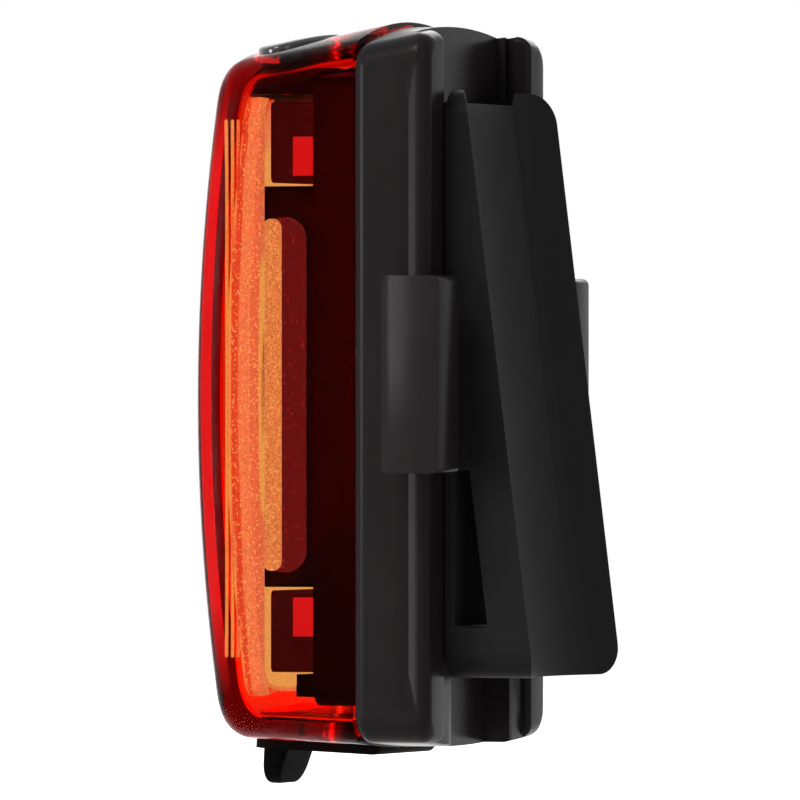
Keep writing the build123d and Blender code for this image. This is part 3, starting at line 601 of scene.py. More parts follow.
@dataclass(frozen=True)
class GlowFinish:
    """Cast silicone or ribbed plastic that glows in stripes, with bright grains in it. On the LED bars and
    chips the glow is their own light; on the diffuser, strips and reflectors the glow, its stripes and its
    grains are painted light.
    """

    name: str
    stops: tuple[Stop, ...]  # at places from 0 at start to 1 at stop
    start: float = 10.0  # ahead of the origin
    stop: float = 20.0  # ahead of the origin
    bow: float = 1.6  # how much the stripes fall back, per metre of height squared
    strength: float = 1.0
    grains: float = 5600.0  # per metre
    lit: float = 0.1  # the share of the grains that is bright
    lit_share: float = 0.6  # of the bright colour in these
    lit_colour: Colour = (1.0, 1.0, 0.6)
    dull_grains: float = 1.3  # dull grains for one bright one, along a line
    dull_lit: float = 2.0  # times the bright grains' share
    dull_colour: Colour = (0.05, 0.01, 0.005)
    dull_depth: float = 0.55  # of the dull colour in its mix with the stripe's
    dim_share: float = 0.25  # of that mix in the dull grains
    sway: float = 0.05  # of the way from start to stop
    sway_scale: Place = (900.0, 900.0, 45.0)  # per metre
    roughness: float = 0.45
    cells: float = 4000.0  # grains of the roughness, per metre
    unevenness: float = 0.3
    depth: float = 0.02
    shine: float = 0.05
    body_share: float = 0.15

    def build(self) -> bpy.types.Material:
        """Builds the material; its stripes run along Y, from start to stop ahead of the origin.

        Returns:
            The material.
        """
        material, bench, shader = start_material(self.name)
        sparkle = place_group(bench, GroupName.SPARKLE, Grains_per_metre=self.grains, Share_lit=self.lit)
        colour = self.strew(bench, self.stripes(bench), sparkle.outputs["Lit"])
        bench.join(colour, shader.inputs["Emission Color"])
        bench.join(bench.blend(self.body_share, BLACK, colour), shader.inputs["Base Color"])
        bench.feed(shader.inputs["Emission Strength"], self.strength)
        bench.feed(shader.inputs["Specular IOR Level"], self.shine)
        grain = place_group(bench, GroupName.GRAIN, Cells_per_metre=self.cells, Unevenness=self.unevenness)
        bench.join(bench.maths("ADD", grain.outputs["Tone"], self.roughness), shader.inputs["Roughness"])
        raise_surface(bench, shader, sparkle.outputs["Height"], self.depth)
        return material

    def stripes(self, bench: NodeBench) -> bpy.types.NodeSocket:
        """The stripes' colour, with seams that sway a little; on the diffuser these stripes are painted
        glow and painted shading.

        Args:
            bench: the material's bench.

        Returns:
            The colour.
        """
        ahead = way_ahead(bench, bench.split(bench.own_place()), self.bow)
        along = bench.remap(ahead, zero=self.start * MM, one=self.stop * MM)
        streaks = bench.noise(bench.stretched(self.sway_scale), scale=1.0, detail=3.0)
        drift = bench.maths("MULTIPLY", bench.maths("SUBTRACT", streaks, NOISE_MIDDLE), self.sway)
        return bench.ramp(bench.maths("ADD", along, drift), self.stops)

    def strew(
        self, bench: NodeBench, colour: bpy.types.NodeSocket, bright: bpy.types.NodeSocket
    ) -> bpy.types.NodeSocket:
        """Strews dull and bright grains over a colour; where the glow is painted, these are painted specks
        of shade and painted glints.

        Args:
            bench: the material's bench.
            colour: the colour.
            bright: where the bright grains lie.

        Returns:
            The colour with its grains.
        """
        grains = self.grains * self.dull_grains
        dull = place_group(
            bench, GroupName.SPARKLE, Grains_per_metre=grains, Share_lit=self.lit * self.dull_lit
        )
        darker = bench.blend(self.dull_depth, colour, self.dull_colour)
        dimmed = bench.maths("MULTIPLY", dull.outputs["Lit"], self.dim_share)
        colour = bench.blend(dimmed, colour, darker)
        return bench.blend(bench.maths("MULTIPLY", bright, self.lit_share), colour, self.lit_colour)


@dataclass(frozen=True)
class MetalFinish:
    """Plain or plated metal with fine drawn lines."""

    name: str
    colour: Colour
    roughness: float = 0.3
    lines: Place = (200.0, 200.0, 9000.0)  # per metre along each axis
    deep_share: float = 0.7  # of the colour, in the lines
    roughness_spread: float = 0.2  # between the smoothest and the roughest line
    depth: float = 0.003

    def build(self) -> bpy.types.Material:
        """Builds the material.

        Returns:
            The material.
        """
        material, bench, shader = start_material(self.name)
        drawn = bench.noise(bench.stretched(self.lines), scale=1.0, detail=2.0)
        deep = scaled(self.colour, self.deep_share)
        bench.join(bench.blend(drawn, deep, self.colour), shader.inputs["Base Color"])
        spread = bench.maths("MULTIPLY", drawn, self.roughness_spread)
        lowest = self.roughness - self.roughness_spread / 2
        bench.join(bench.maths("ADD", spread, lowest), shader.inputs["Roughness"])
        bench.feed(shader.inputs["Metallic"], 1.0)
        raise_surface(bench, shader, drawn, self.depth)
        return material


def gradient(rear: Colour, front: Colour) -> tuple[Stop, ...]:
    """Stops of a colour that changes evenly from the rear to the front."""
    return (0.0, rear), (1.0, front)


def striped(edge: GlowColour, stripes: Iterable[tuple[float, float, GlowColour]]) -> tuple[Stop, ...]:
    """Stops of painted glow stripes with soft seams between them.

    Args:
        edge: the painted shade at the very rear.
        stripes: each stripe's start, stop and colour, where the rear is 0 and the front is 1.

    Returns:
        The stops, in rising order.
    """
    stops = [(0.0, edge.value)]
    for start, stop, colour in stripes:
        stops += [(start, colour.value), (stop, colour.value)]
    return tuple(stops)


# Mesh benches


def tidy_copy(node: str, name: str, edge: float, angle: float = 28.0) -> bpy.types.Object:
    """Copies a CAD node's mesh, merges it, joins its flat faces and rounds its sharp edges.

    Args:
        node: the CAD node.
        name: the new piece's name.
        edge: the width of the rounding, in millimetres.
        angle: edges that turn by less stay smooth, in degrees.

    Returns:
        The piece.
    """
    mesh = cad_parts[node].data.copy()
    mesh.name = name
    work = bmesh.new()
    work.from_mesh(mesh)
    bmesh.ops.remove_doubles(work, verts=work.verts, dist=MERGE_DISTANCE)
    flat = math.radians(FLAT_ANGLE)
    bmesh.ops.dissolve_limit(work, angle_limit=flat, verts=work.verts, edges=work.edges)
    work.to_mesh(mesh)
    work.free()
    piece = bpy.data.objects.new(name, mesh)
    bpy.context.scene.collection.objects.link(piece)
    round_edges(piece, edge, angle)
    shade_smooth(piece.data, angle)
    return piece


def round_edges(piece: bpy.types.Object, edge: float, angle: float) -> None:
    """Rounds a piece's sharp edges.

    Args:
        piece: the piece.
        edge: the width of the rounding, in millimetres.
        angle: edges that turn by less stay as they are, in degrees.
    """
    bevel = piece.modifiers.new("rounding", "BEVEL")
    bevel.width = edge * MM
    bevel.segments = ROUNDING_SEGMENTS
    bevel.limit_method = "ANGLE"
    bevel.angle_limit = math.radians(angle)
    bevel.use_clamp_overlap = True
    bevel.harden_normals = False
    flatten(piece)


def shade_smooth(mesh: bpy.types.Mesh, angle: float) -> None:
    """Shades a mesh smooth, but for its sharp edges.

    Args:
        mesh: the mesh.
        angle: edges that turn by this or more are sharp, in degrees.
    """
    work = bmesh.new()
    work.from_mesh(mesh)
    for face in work.faces:
        face.smooth = True
    for line in work.edges:
        line.smooth = len(line.link_faces) == 2 and line.calc_face_angle(0.0) < math.radians(angle)
    work.to_mesh(mesh)
    work.free()


def flatten(piece: bpy.types.Object) -> None:
    """Turns a piece with live modifiers into a plain mesh.

    Args:
        piece: the piece.
    """
    bpy.context.view_layer.update()
    ready = piece.evaluated_get(bpy.context.evaluated_depsgraph_get())
    mesh = bpy.data.meshes.new_from_object(ready)
    piece.modifiers.clear()
    piece.data = mesh


def mount_piece(
    piece: bpy.types.Object, body: Body, slot: str, material: bpy.types.Material, *nodes: str
) -> None:
    """Gives a piece its finish, its body and the nodes that it stands for.

    Args:
        piece: the piece.
        body: what it rides on.
        slot: the record's material slot; not used.
        material: its material.
        *nodes: CAD nodes that it replaces.
    """
    piece.data.materials.clear()
    piece.data.materials.append(material)
    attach(piece, body.value)
    if nodes:
        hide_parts(*nodes)
    log.info("%s: %d faces on %s", piece.name, len(piece.data.polygons), body.value)


def dress_nodes(material: bpy.types.Material, *nodes: str) -> None:
    """Gives CAD nodes that stay their material.

    Args:
        material: the material.
        *nodes: the nodes.
    """
    for node in nodes:
        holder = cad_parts[node]
        holder.data.materials.clear()
        holder.data.materials.append(material)
        log.info("%s: kept as it is, new material", node)


def ring_solid(name: str, rings: Sequence[Sequence[Place]], angle: float = 30.0) -> bpy.types.Object:
    """Joins closed rings of points into one capped solid, for a shape that is repeated.

    Args:
        name: the object's name.
        rings: rings of equally many points, in millimetres.
        angle: edges that turn by less are smooth, in degrees.

    Returns:
        An object that is no piece yet.
    """
    work = bmesh.new()
    loops = [[work.verts.new(Vector(point) * MM) for point in ring] for ring in rings]
    count = len(rings[0])
    for near, far in zip(loops, loops[1:]):
        for place in range(count):
            after = (place + 1) % count
            work.faces.new((near[place], near[after], far[after], far[place]))
    work.faces.new(loops[0])
    work.faces.new(loops[-1])
    bmesh.ops.recalc_face_normals(work, faces=work.faces)
    mesh = bpy.data.meshes.new(name)
    work.to_mesh(mesh)
    work.free()
    shade_smooth(mesh, angle)
    shape = bpy.data.objects.new(name, mesh)
    bpy.context.scene.collection.objects.link(shape)
    return shape


def soft_bar(
    name: str, half_width: float, half_depth: float, length: float, sides: int = 10
) -> bpy.types.Object:
    """Makes an upright bar of oval section with tapered ends, centred on the origin.

    Args:
        name: the object's name.
        half_width: along Y, in millimetres.
        half_depth: along X, in millimetres.
        length: along Z, in millimetres.
        sides: the points round its section.

    Returns:
        An object that is no piece yet.
    """
    taper = min(half_width, half_depth)
    end = ((0.0, 0.35), (0.4, 0.75), (1.0, 1.0))  # how far in, in tapers, and the share of the section
    heights = [(way_in * taper - length / 2, share) for way_in, share in end]
    heights += [(-z, share) for z, share in reversed(heights)]
    turns = [math.tau * step / sides for step in range(sides)]
    rings = [
        [(half_depth * share * math.cos(turn), half_width * share * math.sin(turn), z) for turn in turns]
        for z, share in heights
    ]
    return ring_solid(name, rings)


def row_tree() -> bpy.types.NodeTree:
    """Builds, once, the Geometry Nodes tree that sets a shape out in columns and rows.

    Returns:
        The tree.
    """
    name = "Columns and rows"
    if name in bpy.data.node_groups:
        return bpy.data.node_groups[name]
    tree = bpy.data.node_groups.new(name, "GeometryNodeTree")
    tree.is_modifier = True
    face = tree.interface
    face.new_socket(name="Geometry", in_out="OUTPUT", socket_type="NodeSocketGeometry")
    face.new_socket(name="Geometry", in_out="INPUT", socket_type="NodeSocketGeometry")
    face.new_socket(name="Shape", in_out="INPUT", socket_type="NodeSocketObject")
    face.new_socket(name="Finish", in_out="INPUT", socket_type="NodeSocketMaterial")
    for label in ("Columns", "Rows"):
        face.new_socket(name=label, in_out="INPUT", socket_type="NodeSocketInt").default_value = 2
    for label in ("First", "Column step", "Row step"):
        face.new_socket(name=label, in_out="INPUT", socket_type="NodeSocketVector")
    bench = NodeBench(tree)
    given = bench.add("NodeGroupInput").outputs
    wanted = bench.add("NodeGroupOutput").inputs
    across = bench.add("GeometryNodeMeshLine", mode="OFFSET")
    upward = bench.add("GeometryNodeMeshLine", mode="OFFSET")
    for line, count, step in ((across, "Columns", "Column step"), (upward, "Rows", "Row step")):
        bench.join(given[count], line.inputs["Count"])
        bench.join(given[step], line.inputs["Offset"])
    bench.join(given["First"], across.inputs["Start Location"])
    field = bench.add("GeometryNodeInstanceOnPoints")
    bench.join(across.outputs[0], field.inputs["Points"])
    bench.join(upward.outputs[0], field.inputs["Instance"])
    places = bench.add("GeometryNodeRealizeInstances")
    bench.join(field.outputs[0], places.inputs[0])
    shape = bench.add("GeometryNodeObjectInfo")
    bench.join(given["Shape"], shape.inputs["Object"])
    copies = bench.add("GeometryNodeInstanceOnPoints")
    bench.join(places.outputs[0], copies.inputs["Points"])
    bench.join(shape.outputs["Geometry"], copies.inputs["Instance"])
    solid = bench.add("GeometryNodeRealizeInstances")
    bench.join(copies.outputs[0], solid.inputs[0])
    dressed = bench.add("GeometryNodeSetMaterial")
    bench.join(solid.outputs[0], dressed.inputs["Geometry"])
    bench.join(given["Finish"], dressed.inputs["Material"])
    bench.join(dressed.outputs[0], wanted["Geometry"])
    return tree


@dataclass(frozen=True)
class Repeat:
    """Columns and rows of one small shape."""

    name: str
    columns: int
    rows: int
    first: Place
    column_step: Place
    row_step: Place

    def build(self, shape: bpy.types.Object, finish: bpy.types.Material) -> bpy.types.Object:
        """Sets the shape out and makes the result one plain mesh.

        Args:
            shape: the small shape; it is used up.
            finish: the pieces' material.

        Returns:
            The piece.
        """
        piece = bpy.data.objects.new(self.name, bpy.data.meshes.new(self.name))
        bpy.context.scene.collection.objects.link(piece)
        tree = row_tree()
        layout = piece.modifiers.new("layout", "NODES")
        layout.node_group = tree
        values = {
            "Shape": shape,
            "Finish": finish,
            "Columns": self.columns,
            "Rows": self.rows,
            "First": [number * MM for number in self.first],
            "Column step": [number * MM for number in self.column_step],
            "Row step": [number * MM for number in self.row_step],
        }
        for socket in tree.interface.items_tree:
            if socket.in_out == "INPUT" and socket.name in values:
                layout[socket.identifier] = values[socket.name]
        flatten(piece)
        bpy.data.objects.remove(shape)
        return piece


def node_box(node: str) -> tuple[Vector, Vector]:
    """A CAD node's lowest and highest corners, in millimetres."""
    low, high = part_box(node)
    return Vector(low) / MM, Vector(high) / MM


# Sub-assemblies


@dataclass
class CaseScrew:
    """A countersunk screw with a hexagon socket and a thread; it lies along -Y, its head's face at 0."""

    head_radius: float = 1.88
    head_angle: float = 82.0  # degrees across the cone
    head_lip: float = 0.06
    shank_radius: float = 0.98
    root_radius: float = 0.8
    thread_pitch: float = 0.5
    thread_start: float = 0.3  # under the head
    crest_start: float = 0.24  # under the root
    crest_stop: float = 0.3  # under the root
    bare_length: float = 0.9  # kept clear of the thread, both ends together
    tip_length: float = 0.25
    tip_share: float = 0.6  # of the root's radius
    socket_radius: float = 0.68  # to its corners
    socket_depth: float = 0.55
    socket_mouth: float = 0.1
    drill_point: float = 0.1  # the flat at the socket's floor, and how far it lies under the walls
    sides: int = 24

    def hexagon(self, turn: float) -> float:
        """How far the socket's wall lies from the middle at an angle."""
        sixth = math.tau / 6
        return self.socket_radius * math.cos(sixth / 2) / math.cos(turn % sixth - sixth / 2)

    def ring(self, radius: float, y: float) -> list[Place]:
        """A ring of points round the screw; a radius of 0 follows the socket's wall.

        Args:
            radius: the ring's radius, in millimetres.
            y: where it lies along the screw.

        Returns:
            The ring's points.
        """
        points = []
        for side in range(self.sides):
            turn = math.tau * side / self.sides
            reach = radius or self.hexagon(turn)
            points.append((reach * math.cos(turn), y, reach * math.sin(turn)))
        return points

    def build(self, length: float) -> bpy.types.Object:
        """Makes the screw.

        Args:
            length: from the head's face to the tip, in millimetres.

        Returns:
            An object that is no piece yet.
        """
        head = (self.head_radius - self.shank_radius) / math.tan(math.radians(self.head_angle / 2))
        steps = [
            (self.drill_point, -self.socket_depth - self.drill_point),
            (0.0, -self.socket_depth),
            (0.0, -self.head_lip),
            (self.socket_radius + self.socket_mouth, 0.0),
            (self.head_radius - self.head_lip, 0.0),
            (self.head_radius, -self.head_lip),
            (self.shank_radius, -head - self.head_lip),
        ]
        for turn in range(int((length - head - self.bare_length) / self.thread_pitch)):
            y = -head - self.thread_start - turn * self.thread_pitch
            steps += [
                (self.root_radius, y),
                (self.shank_radius, y - self.crest_start),
                (self.shank_radius, y - self.crest_stop),
            ]
        steps += [
            (self.root_radius, -length + self.tip_length),
            (self.root_radius * self.tip_share, -length),
        ]
        return ring_solid("screw_shape", [self.ring(radius, y) for radius, y in steps])


@dataclass
class Housing:
    """The black rear housing with its rail and strap hooks, the seal and the case screws."""

    edge: float = 0.18

    def build(self) -> None:
        """Builds the housing's pieces."""
        black = OuterFinish(
            "Satin black housing",
            (0.0098, 0.0083, 0.0086),
            roughness=0.24,
            shine=0.032,
            cells=9000.0,
            depth=0.0025,
            worn_colour=(0.03, 0.028, 0.028),
        ).build()
        shell = tidy_copy("rear_housing", "housing_shell", self.edge)
        mount_piece(shell, Body.CASE, "case_black", black, "rear_housing")
        seal = MouldedFinish(
            "Red seal",
            (0.35, 0.01, 0.01),
            roughness=0.5,
            shine=0.1,
            worn_colour=(0.5, 0.05, 0.05),
            dust=0.0,
        )
        dress_nodes(seal.build(), "lens_seal")
        self.build_screws()

    def build_screws(self) -> None:
        """Builds the four case screws in the rail floor."""
        steel = MetalFinish(
            "Plated screw steel", (0.55, 0.55, 0.56), roughness=0.28, lines=(3000.0, 200.0, 3000.0)
        ).build()
        screw = CaseScrew()
        low, high = node_box("case_screws")
        reach = high - low
        screws = Repeat(
            "case_screw_set",
            columns=2,
            rows=2,
            first=(low.x + screw.head_radius, 0.0, low.z + screw.head_radius),
            column_step=(reach.x - 2 * screw.head_radius, 0.0, 0.0),
            row_step=(0.0, 0.0, reach.z - 2 * screw.head_radius),
        )
        piece = screws.build(screw.build(-low.y), steel)
        mount_piece(piece, Body.CASE, "screw_steel", steel, "case_screws")


@dataclass
class RedLens:
    """The clear red lens: front, crown and foot in one."""

    edge: float = 0.12
    wall: float = 2.2  # the way through it at which its colour is taken
    through: Colour = (0.86, 0.17, 0.08)

    def build(self) -> None:
        """Builds the lens."""
        red = ClearFinish("Clear red lens", self.through, self.wall).build()
        mount_piece(tidy_copy("lens", "lens_shell", self.edge), Body.CASE, "lens_red", red, "lens")


@dataclass
class LightEngine:
    """What lies behind the lens: carrier, strips, bars, reflector boxes, chips, diffuser and hoods."""

    diffuser_edge: float = 0.1
    glow_start: float = 15.2  # ahead of the origin
    glow_stop: float = 20.8  # ahead of the origin
    # painted glow and painted shading on the diffuser, each stripe from its start to its stop, rear 0 to
    # front 1
    stripes: tuple[tuple[float, float, GlowColour], ...] = (
        (0.01, 0.04, GlowColour.PALE),
        (0.05, 0.19, GlowColour.WARM),
        (0.21, 0.42, GlowColour.ORANGE),
        (0.44, 0.56, GlowColour.RED),
        (0.57, 0.61, GlowColour.ORANGE),
        (0.63, 0.82, GlowColour.PALE),
        (0.85, 1.0, GlowColour.ORANGE),
    )
    flute_pitch: float = 0.62
    flute_count: int = 6
    flute_half_width: float = 0.16
    flute_proud: float = 0.1
    flute_start: float = 0.35  # ahead of the diffuser's rear
    flute_gaps: float = 6.0  # above and below the flutes, together
    flute_lift: float = 0.8
    wall_draft: float = 5.6  # degrees

    def build(self) -> None:
        """Dresses the light's inner pieces and builds the diffuser and its flutes."""
        dress_nodes(DarkFinish("Black carrier", (0.001, 0.0006, 0.0007)).build(), "led_core")
        self.dress_bars()
        self.dress_boxes()
        self.build_diffuser()
        hood = DarkFinish("Mask black", (0.0012, 0.0008, 0.0009))
        dress_nodes(hood.build(), "crown_mask", "port_collar")

    def dress_bars(self) -> None:
        """Dresses the strips, whose glow is painted, and the phosphor bars on them, which glow with their
        own light.
        """
        # painted glow: emission on the strip, a little brighter towards the front
        strip = GlowFinish(
            "Red strip lacquer and painted glow",
            gradient((0.13, 0.03, 0.07), (0.14, 0.035, 0.08)),
            lit=0.03,
            lit_share=0.5,
            lit_colour=GlowColour.RED_GRAIN.value,
            dim_share=0.1,
            body_share=0.04,
        )
        dress_nodes(strip.build(), "front_strip", "side_strips")
        bar = GlowFinish(
            "Phosphor bar",
            gradient(GlowColour.BAR.value, GlowColour.BAR.value),
            strength=2.2,
            lit=0.2,
            lit_share=0.75,
            lit_colour=GlowColour.BRIGHT_GRAIN.value,
            dim_share=0.5,
        )
        dress_nodes(bar.build(), "front_phosphor", "side_phosphors")

    def dress_boxes(self) -> None:
        """Dresses the reflector boxes above and below, with painted glow, and the lit chips in them."""
        # painted glow: emission on the reflector boxes, a little brighter towards the front
        box = GlowFinish(
            "Dark red reflector and painted glow",
            gradient((0.035, 0.006, 0.015), (0.045, 0.008, 0.02)),
            lit=0.01,
            lit_share=0.3,
            lit_colour=GlowColour.RED_GRAIN.value,
            dim_share=0.1,
            body_share=0.05,
        )
        dress_nodes(box.build(), "upper_reflector", "lower_reflector")
        chip = GlowFinish(
            "Lit chip",
            gradient(GlowColour.CHIP.value, GlowColour.CHIP.value),
            lit=0.0,
            dim_share=0.05,
            body_share=0.05,
        )
        dress_nodes(chip.build(), "upper_emitters", "lower_emitters")

    def build_diffuser(self) -> None:
        """Builds the diffuser and its flutes, which carry a painted glow in stripes."""
        glow = GlowFinish(
            "Ribbed diffuser and painted glow",
            striped(GlowColour.REAR_SHADE, self.stripes),
            start=self.glow_start,
            stop=self.glow_stop,
            strength=2.2,
            lit=0.13,
            lit_share=0.75,
            lit_colour=GlowColour.BRIGHT_GRAIN.value,
            dim_share=0.4,
        ).build()
        shell = tidy_copy("diffuser", "diffuser_shell", self.diffuser_edge)
        mount_piece(shell, Body.CASE, "diffuser", glow, "diffuser")
        self.build_flutes(glow)

    def build_flutes(self, glow: bpy.types.Material) -> None:
        """Builds the upright flutes on the diffuser's side walls.

        Args:
            glow: the diffuser's finish, with its painted glow.
        """
        low, high = node_box("diffuser")
        lean = math.radians(self.wall_draft)
        length = high.z - low.z - self.flute_gaps
        middle = (high.z + low.z) / 2 + self.flute_lift
        start = self.flute_start + self.flute_half_width
        for way, side in ((1, "right"), (-1, "left")):
            bar = soft_bar("flute_shape", self.flute_half_width, self.flute_proud, length)
            flutes = Repeat(
                f"diffuser_flutes_{side}",
                columns=self.flute_count,
                rows=1,
                first=(way * (high.x - start * math.tan(lean)), high.y - start, middle),
                column_step=(
                    -way * self.flute_pitch * math.sin(lean),
                    -self.flute_pitch * math.cos(lean),
                    0.0,
                ),
                row_step=(0.0, 0.0, 1.0),
            )
            mount_piece(flutes.build(bar, glow), Body.CASE, "diffuser", glow)


@dataclass
class PowerPack:
    """Frame, boards, battery, leads and port."""

    contact_count: int = 12
    contact_pitch: float = 0.5
    contact_half_width: float = 0.12
    contact_proud: float = 0.04
    contact_share: float = 0.8  # of the tongue's length

    def build(self) -> None:
        """Dresses the inner pieces and builds the port's contacts."""
        dress_nodes(DarkFinish("Inner frame black", (0.001, 0.0006, 0.0007)).build(), "inner_frame")
        self.dress_boards()
        self.dress_battery()
        dress_nodes(MetalFinish("Drawn steel", (0.62, 0.62, 0.63)).build(), "usb_shell")
        self.build_contacts()

    def dress_boards(self) -> None:
        """Dresses the boards and what is soldered to them."""
        green = InnerFinish("Board lacquer", (0.01, 0.09, 0.04), roughness=0.25, coat=0.5)
        dress_nodes(green.build(), "main_board", "battery_guard", "button_board")
        chip = InnerFinish("Chip epoxy", (0.02, 0.02, 0.02), roughness=0.5)
        dress_nodes(chip.build(), "board_chips", "usb_tongue", "switch_body", "switch_plunger")

    def dress_battery(self) -> None:
        """Dresses the battery, its foam and its leads."""
        foil = MetalFinish("Pouch foil", (0.8, 0.8, 0.82), roughness=0.35, lines=(800.0, 800.0, 800.0))
        dress_nodes(foil.build(), "battery_cell")
        foam = InnerFinish("Foam", (0.05, 0.05, 0.05), roughness=0.9, depth=0.05)
        dress_nodes(foam.build(), "battery_foam")
        wire = InnerFinish("Wire jacket", (0.4, 0.02, 0.02), roughness=0.4)
        dress_nodes(wire.build(), "battery_leads")

    def build_contacts(self) -> None:
        """Builds the gilt contacts on both faces of the port's tongue."""
        gilt = MetalFinish("Gilt contact", (0.83, 0.6, 0.25), roughness=0.22).build()
        low, high = node_box("usb_tongue")
        length = (high.z - low.z) * self.contact_share
        bar = soft_bar("contact_shape", self.contact_proud, self.contact_half_width, length)
        contacts = Repeat(
            "port_contacts",
            columns=self.contact_count,
            rows=2,
            first=(-(self.contact_count - 1) * self.contact_pitch / 2, low.y, (low.z + high.z) / 2),
            column_step=(self.contact_pitch, 0.0, 0.0),
            row_step=(0.0, high.y - low.y, 0.0),
        )
        mount_piece(contacts.build(bar, gilt), Body.CASE, "port_metal", gilt)


@dataclass
class Controls:
    """Power button, its membrane, and the port's cover with its anchor."""

    button_edge: float = 0.1
    flap_edge: float = 0.14

    def build(self) -> None:
        """Builds the controls."""
        black = OuterFinish(
            "Smooth black button",
            (0.009, 0.0095, 0.012),
            roughness=0.2,
            shine=0.5,
            cells=5000.0,
            depth=0.002,
            worn_colour=(0.03, 0.03, 0.034),
        ).build()
        button = tidy_copy("button_cap", "power_button", self.button_edge)
        mount_piece(button, Body.BUTTON, "button_black", black, "button_cap")
        rubber = OuterFinish(
            "Black rubber",
            (0.0022, 0.0019, 0.0019),
            roughness=0.55,
            shine=0.007,
            cells=7000.0,
            depth=0.003,
            worn_colour=(0.02, 0.02, 0.02),
        ).build()
        dress_nodes(rubber, "button_membrane", "cover_anchor")
        flap = tidy_copy("port_cover", "port_flap", self.flap_edge)
        mount_piece(flap, Body.COVER, "rubber_black", rubber, "port_cover")


@dataclass
class PostPad:
    """The rubber pad between the rail and the seat post."""

    edge: float = 0.2

    def build(self) -> None:
        """Builds the pad."""
        rubber = OuterFinish(
            "Satin pad rubber",
            (0.0105, 0.0105, 0.0112),
            roughness=0.42,
            shine=0.014,
            cells=12000.0,
            depth=0.002,
            worn_colour=(0.03, 0.03, 0.032),
        ).build()
        pad = tidy_copy("post_pad", "seat_post_pad", self.edge)
        mount_piece(pad, Body.PAD, "rubber_black", rubber, "post_pad")


# Studio


@dataclass(frozen=True)
class Lamp:
    """A square soft lamp that faces the origin."""

    name: str
    place: Place  # metres
    size: float  # metres
    power: float  # watts

    def build(self) -> None:
        """Builds the lamp."""
        lamp = bpy.data.lights.new(self.name, "AREA")
        lamp.shape = "SQUARE"
        lamp.size = self.size
        lamp.energy = self.power
        holder = bpy.data.objects.new(self.name, lamp)
        holder.location = self.place
        holder.rotation_euler = (-Vector(self.place)).to_track_quat("-Z", "Y").to_euler()
        bpy.context.scene.collection.objects.link(holder)


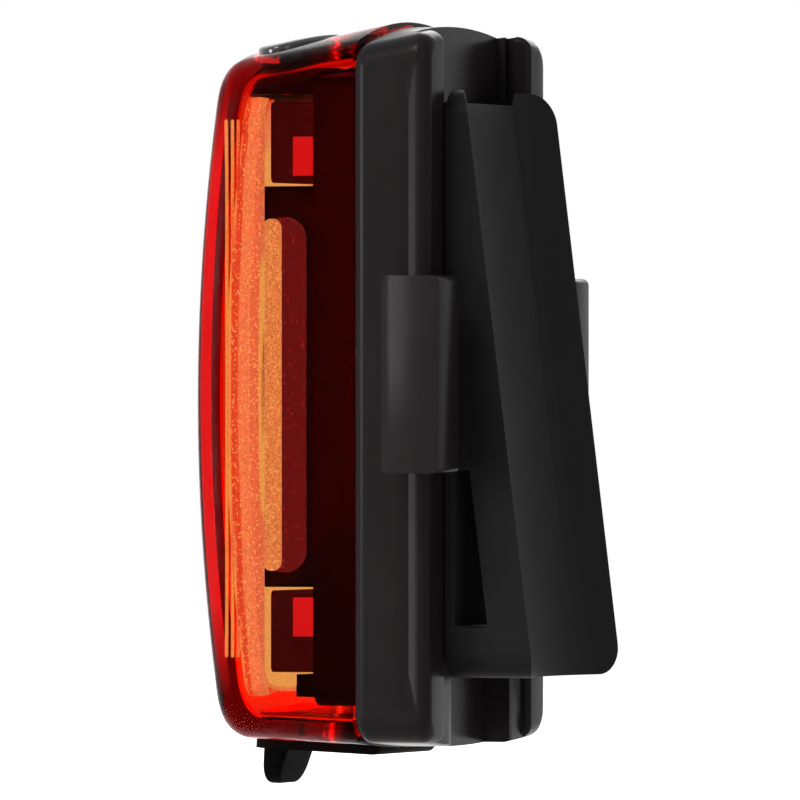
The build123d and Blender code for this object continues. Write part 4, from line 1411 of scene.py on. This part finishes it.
@dataclass
class Studio:
    """Floor, backdrop, lamps and camera."""

    floor_height: float = -53.0
    floor_half: float = 3000.0
    floor_tones: tuple[Colour, Colour] = ((0.78, 0.78, 0.78), (0.84, 0.84, 0.84))
    floor_glow: float = 0.74  # what brings the lit floor to white
    air_strength: float = 0.35
    lamps: tuple[Lamp, ...] = (
        Lamp("key_softbox", (0.7, -0.25, 0.95), 0.4, 11.0),
        Lamp("lens_softbox", (0.75, -0.85, 0.15), 0.45, 12.0),
        Lamp("rear_softbox", (0.45, 0.9, 0.3), 0.3, 0.7),
        Lamp("far_softbox", (-0.9, -0.1, 0.5), 0.5, 3.0),
    )
    aim: Place = (0.428, -5.596, -1.32)
    view_way: Place = (0.9415, 0.337, 0.0)  # from the aim towards the camera, of any length
    distance: float = 1400.0
    seen_width: float = 78.43  # across the picture, at the object
    sensor_width: float = 36.0
    far_limit: float = 50000.0

    def build(self) -> None:
        """Builds the studio."""
        self.build_world()
        self.build_floor()
        for lamp in self.lamps:
            lamp.build()
        self.build_camera()

    def build_world(self) -> None:
        """Makes the air white where it is seen or mirrored, and a soft grey elsewhere."""
        world = bpy.data.worlds.new("Studio air")
        bpy.context.scene.world = world
        world.use_nodes = True
        world.node_tree.nodes.clear()
        bench = NodeBench(world.node_tree)
        seen = seen_or_mirrored(bench)
        white = bench.add("ShaderNodeBackground", Color=(*WHITE, 1.0), Strength=1.0)
        grey = bench.add("ShaderNodeBackground", Color=(*WHITE, 1.0), Strength=self.air_strength)
        both = bench.add("ShaderNodeMixShader")
        output = bench.add("ShaderNodeOutputWorld")
        bench.join(seen, both.inputs[0])
        bench.join(grey.outputs[0], both.inputs[1])
        bench.join(white.outputs[0], both.inputs[2])
        bench.join(both.outputs[0], output.inputs[0])

    def build_floor(self) -> None:
        """Builds a pale floor that turns white to the camera and keeps the object's shadow."""
        half = self.floor_half * MM
        height = self.floor_height * MM
        mesh = bpy.data.meshes.new("studio_floor")
        ways = ((-1, -1), (1, -1), (1, 1), (-1, 1))
        corners = [(across * half, along * half, height) for across, along in ways]
        mesh.from_pydata(corners, [], [(0, 1, 2, 3)])
        floor = bpy.data.objects.new("studio_floor", mesh)
        bpy.context.scene.collection.objects.link(floor)
        mesh.materials.append(self.floor_material())

    def floor_material(self) -> bpy.types.Material:
        """Makes the floor's material.

        Returns:
            The material.
        """
        material, bench, shader = start_material("Pale floor")
        grain = place_group(bench, GroupName.GRAIN, Cells_per_metre=60.0, Unevenness=0.04)
        tone = bench.maths("ADD", grain.outputs["Tone"], NOISE_MIDDLE)
        bench.join(bench.blend(tone, *self.floor_tones), shader.inputs["Base Color"])
        bench.feed(shader.inputs["Roughness"], 0.9)
        bench.feed(shader.inputs["Specular IOR Level"], 0.0)
        bench.feed(shader.inputs["Emission Color"], WHITE)
        glow = bench.maths("MULTIPLY", seen_or_mirrored(bench), self.floor_glow)
        bench.join(glow, shader.inputs["Emission Strength"])
        return material

    def build_camera(self) -> None:
        """Sets the camera at the photograph's angle."""
        aim = Vector(self.aim) * MM
        way = Vector(self.view_way).normalized()
        camera = bpy.data.cameras.new("photo_camera")
        camera.sensor_width = self.sensor_width
        camera.lens = self.sensor_width * self.distance / self.seen_width
        camera.clip_end = self.far_limit * MM
        holder = bpy.data.objects.new("photo_camera", camera)
        holder.location = aim + way * self.distance * MM
        holder.rotation_euler = (-way).to_track_quat("-Z", "Y").to_euler()
        bpy.context.scene.collection.objects.link(holder)
        bpy.context.scene.camera = holder


def main() -> None:
    """Builds the object and its studio, piece by piece."""
    logging.basicConfig(level=logging.INFO, format="%(name)s: %(message)s")
    bpy.context.scene.view_settings.view_transform = "Standard"
    for build_group in (build_grain, build_wear, build_dust, build_sparkle):
        build_group()
    for assembly in (Studio(), Housing(), RedLens(), LightEngine(), PowerPack(), Controls(), PostPad()):
        assembly.build()
        log.info("%s done", type(assembly).__name__)


if __name__ == "__main__":
    main()
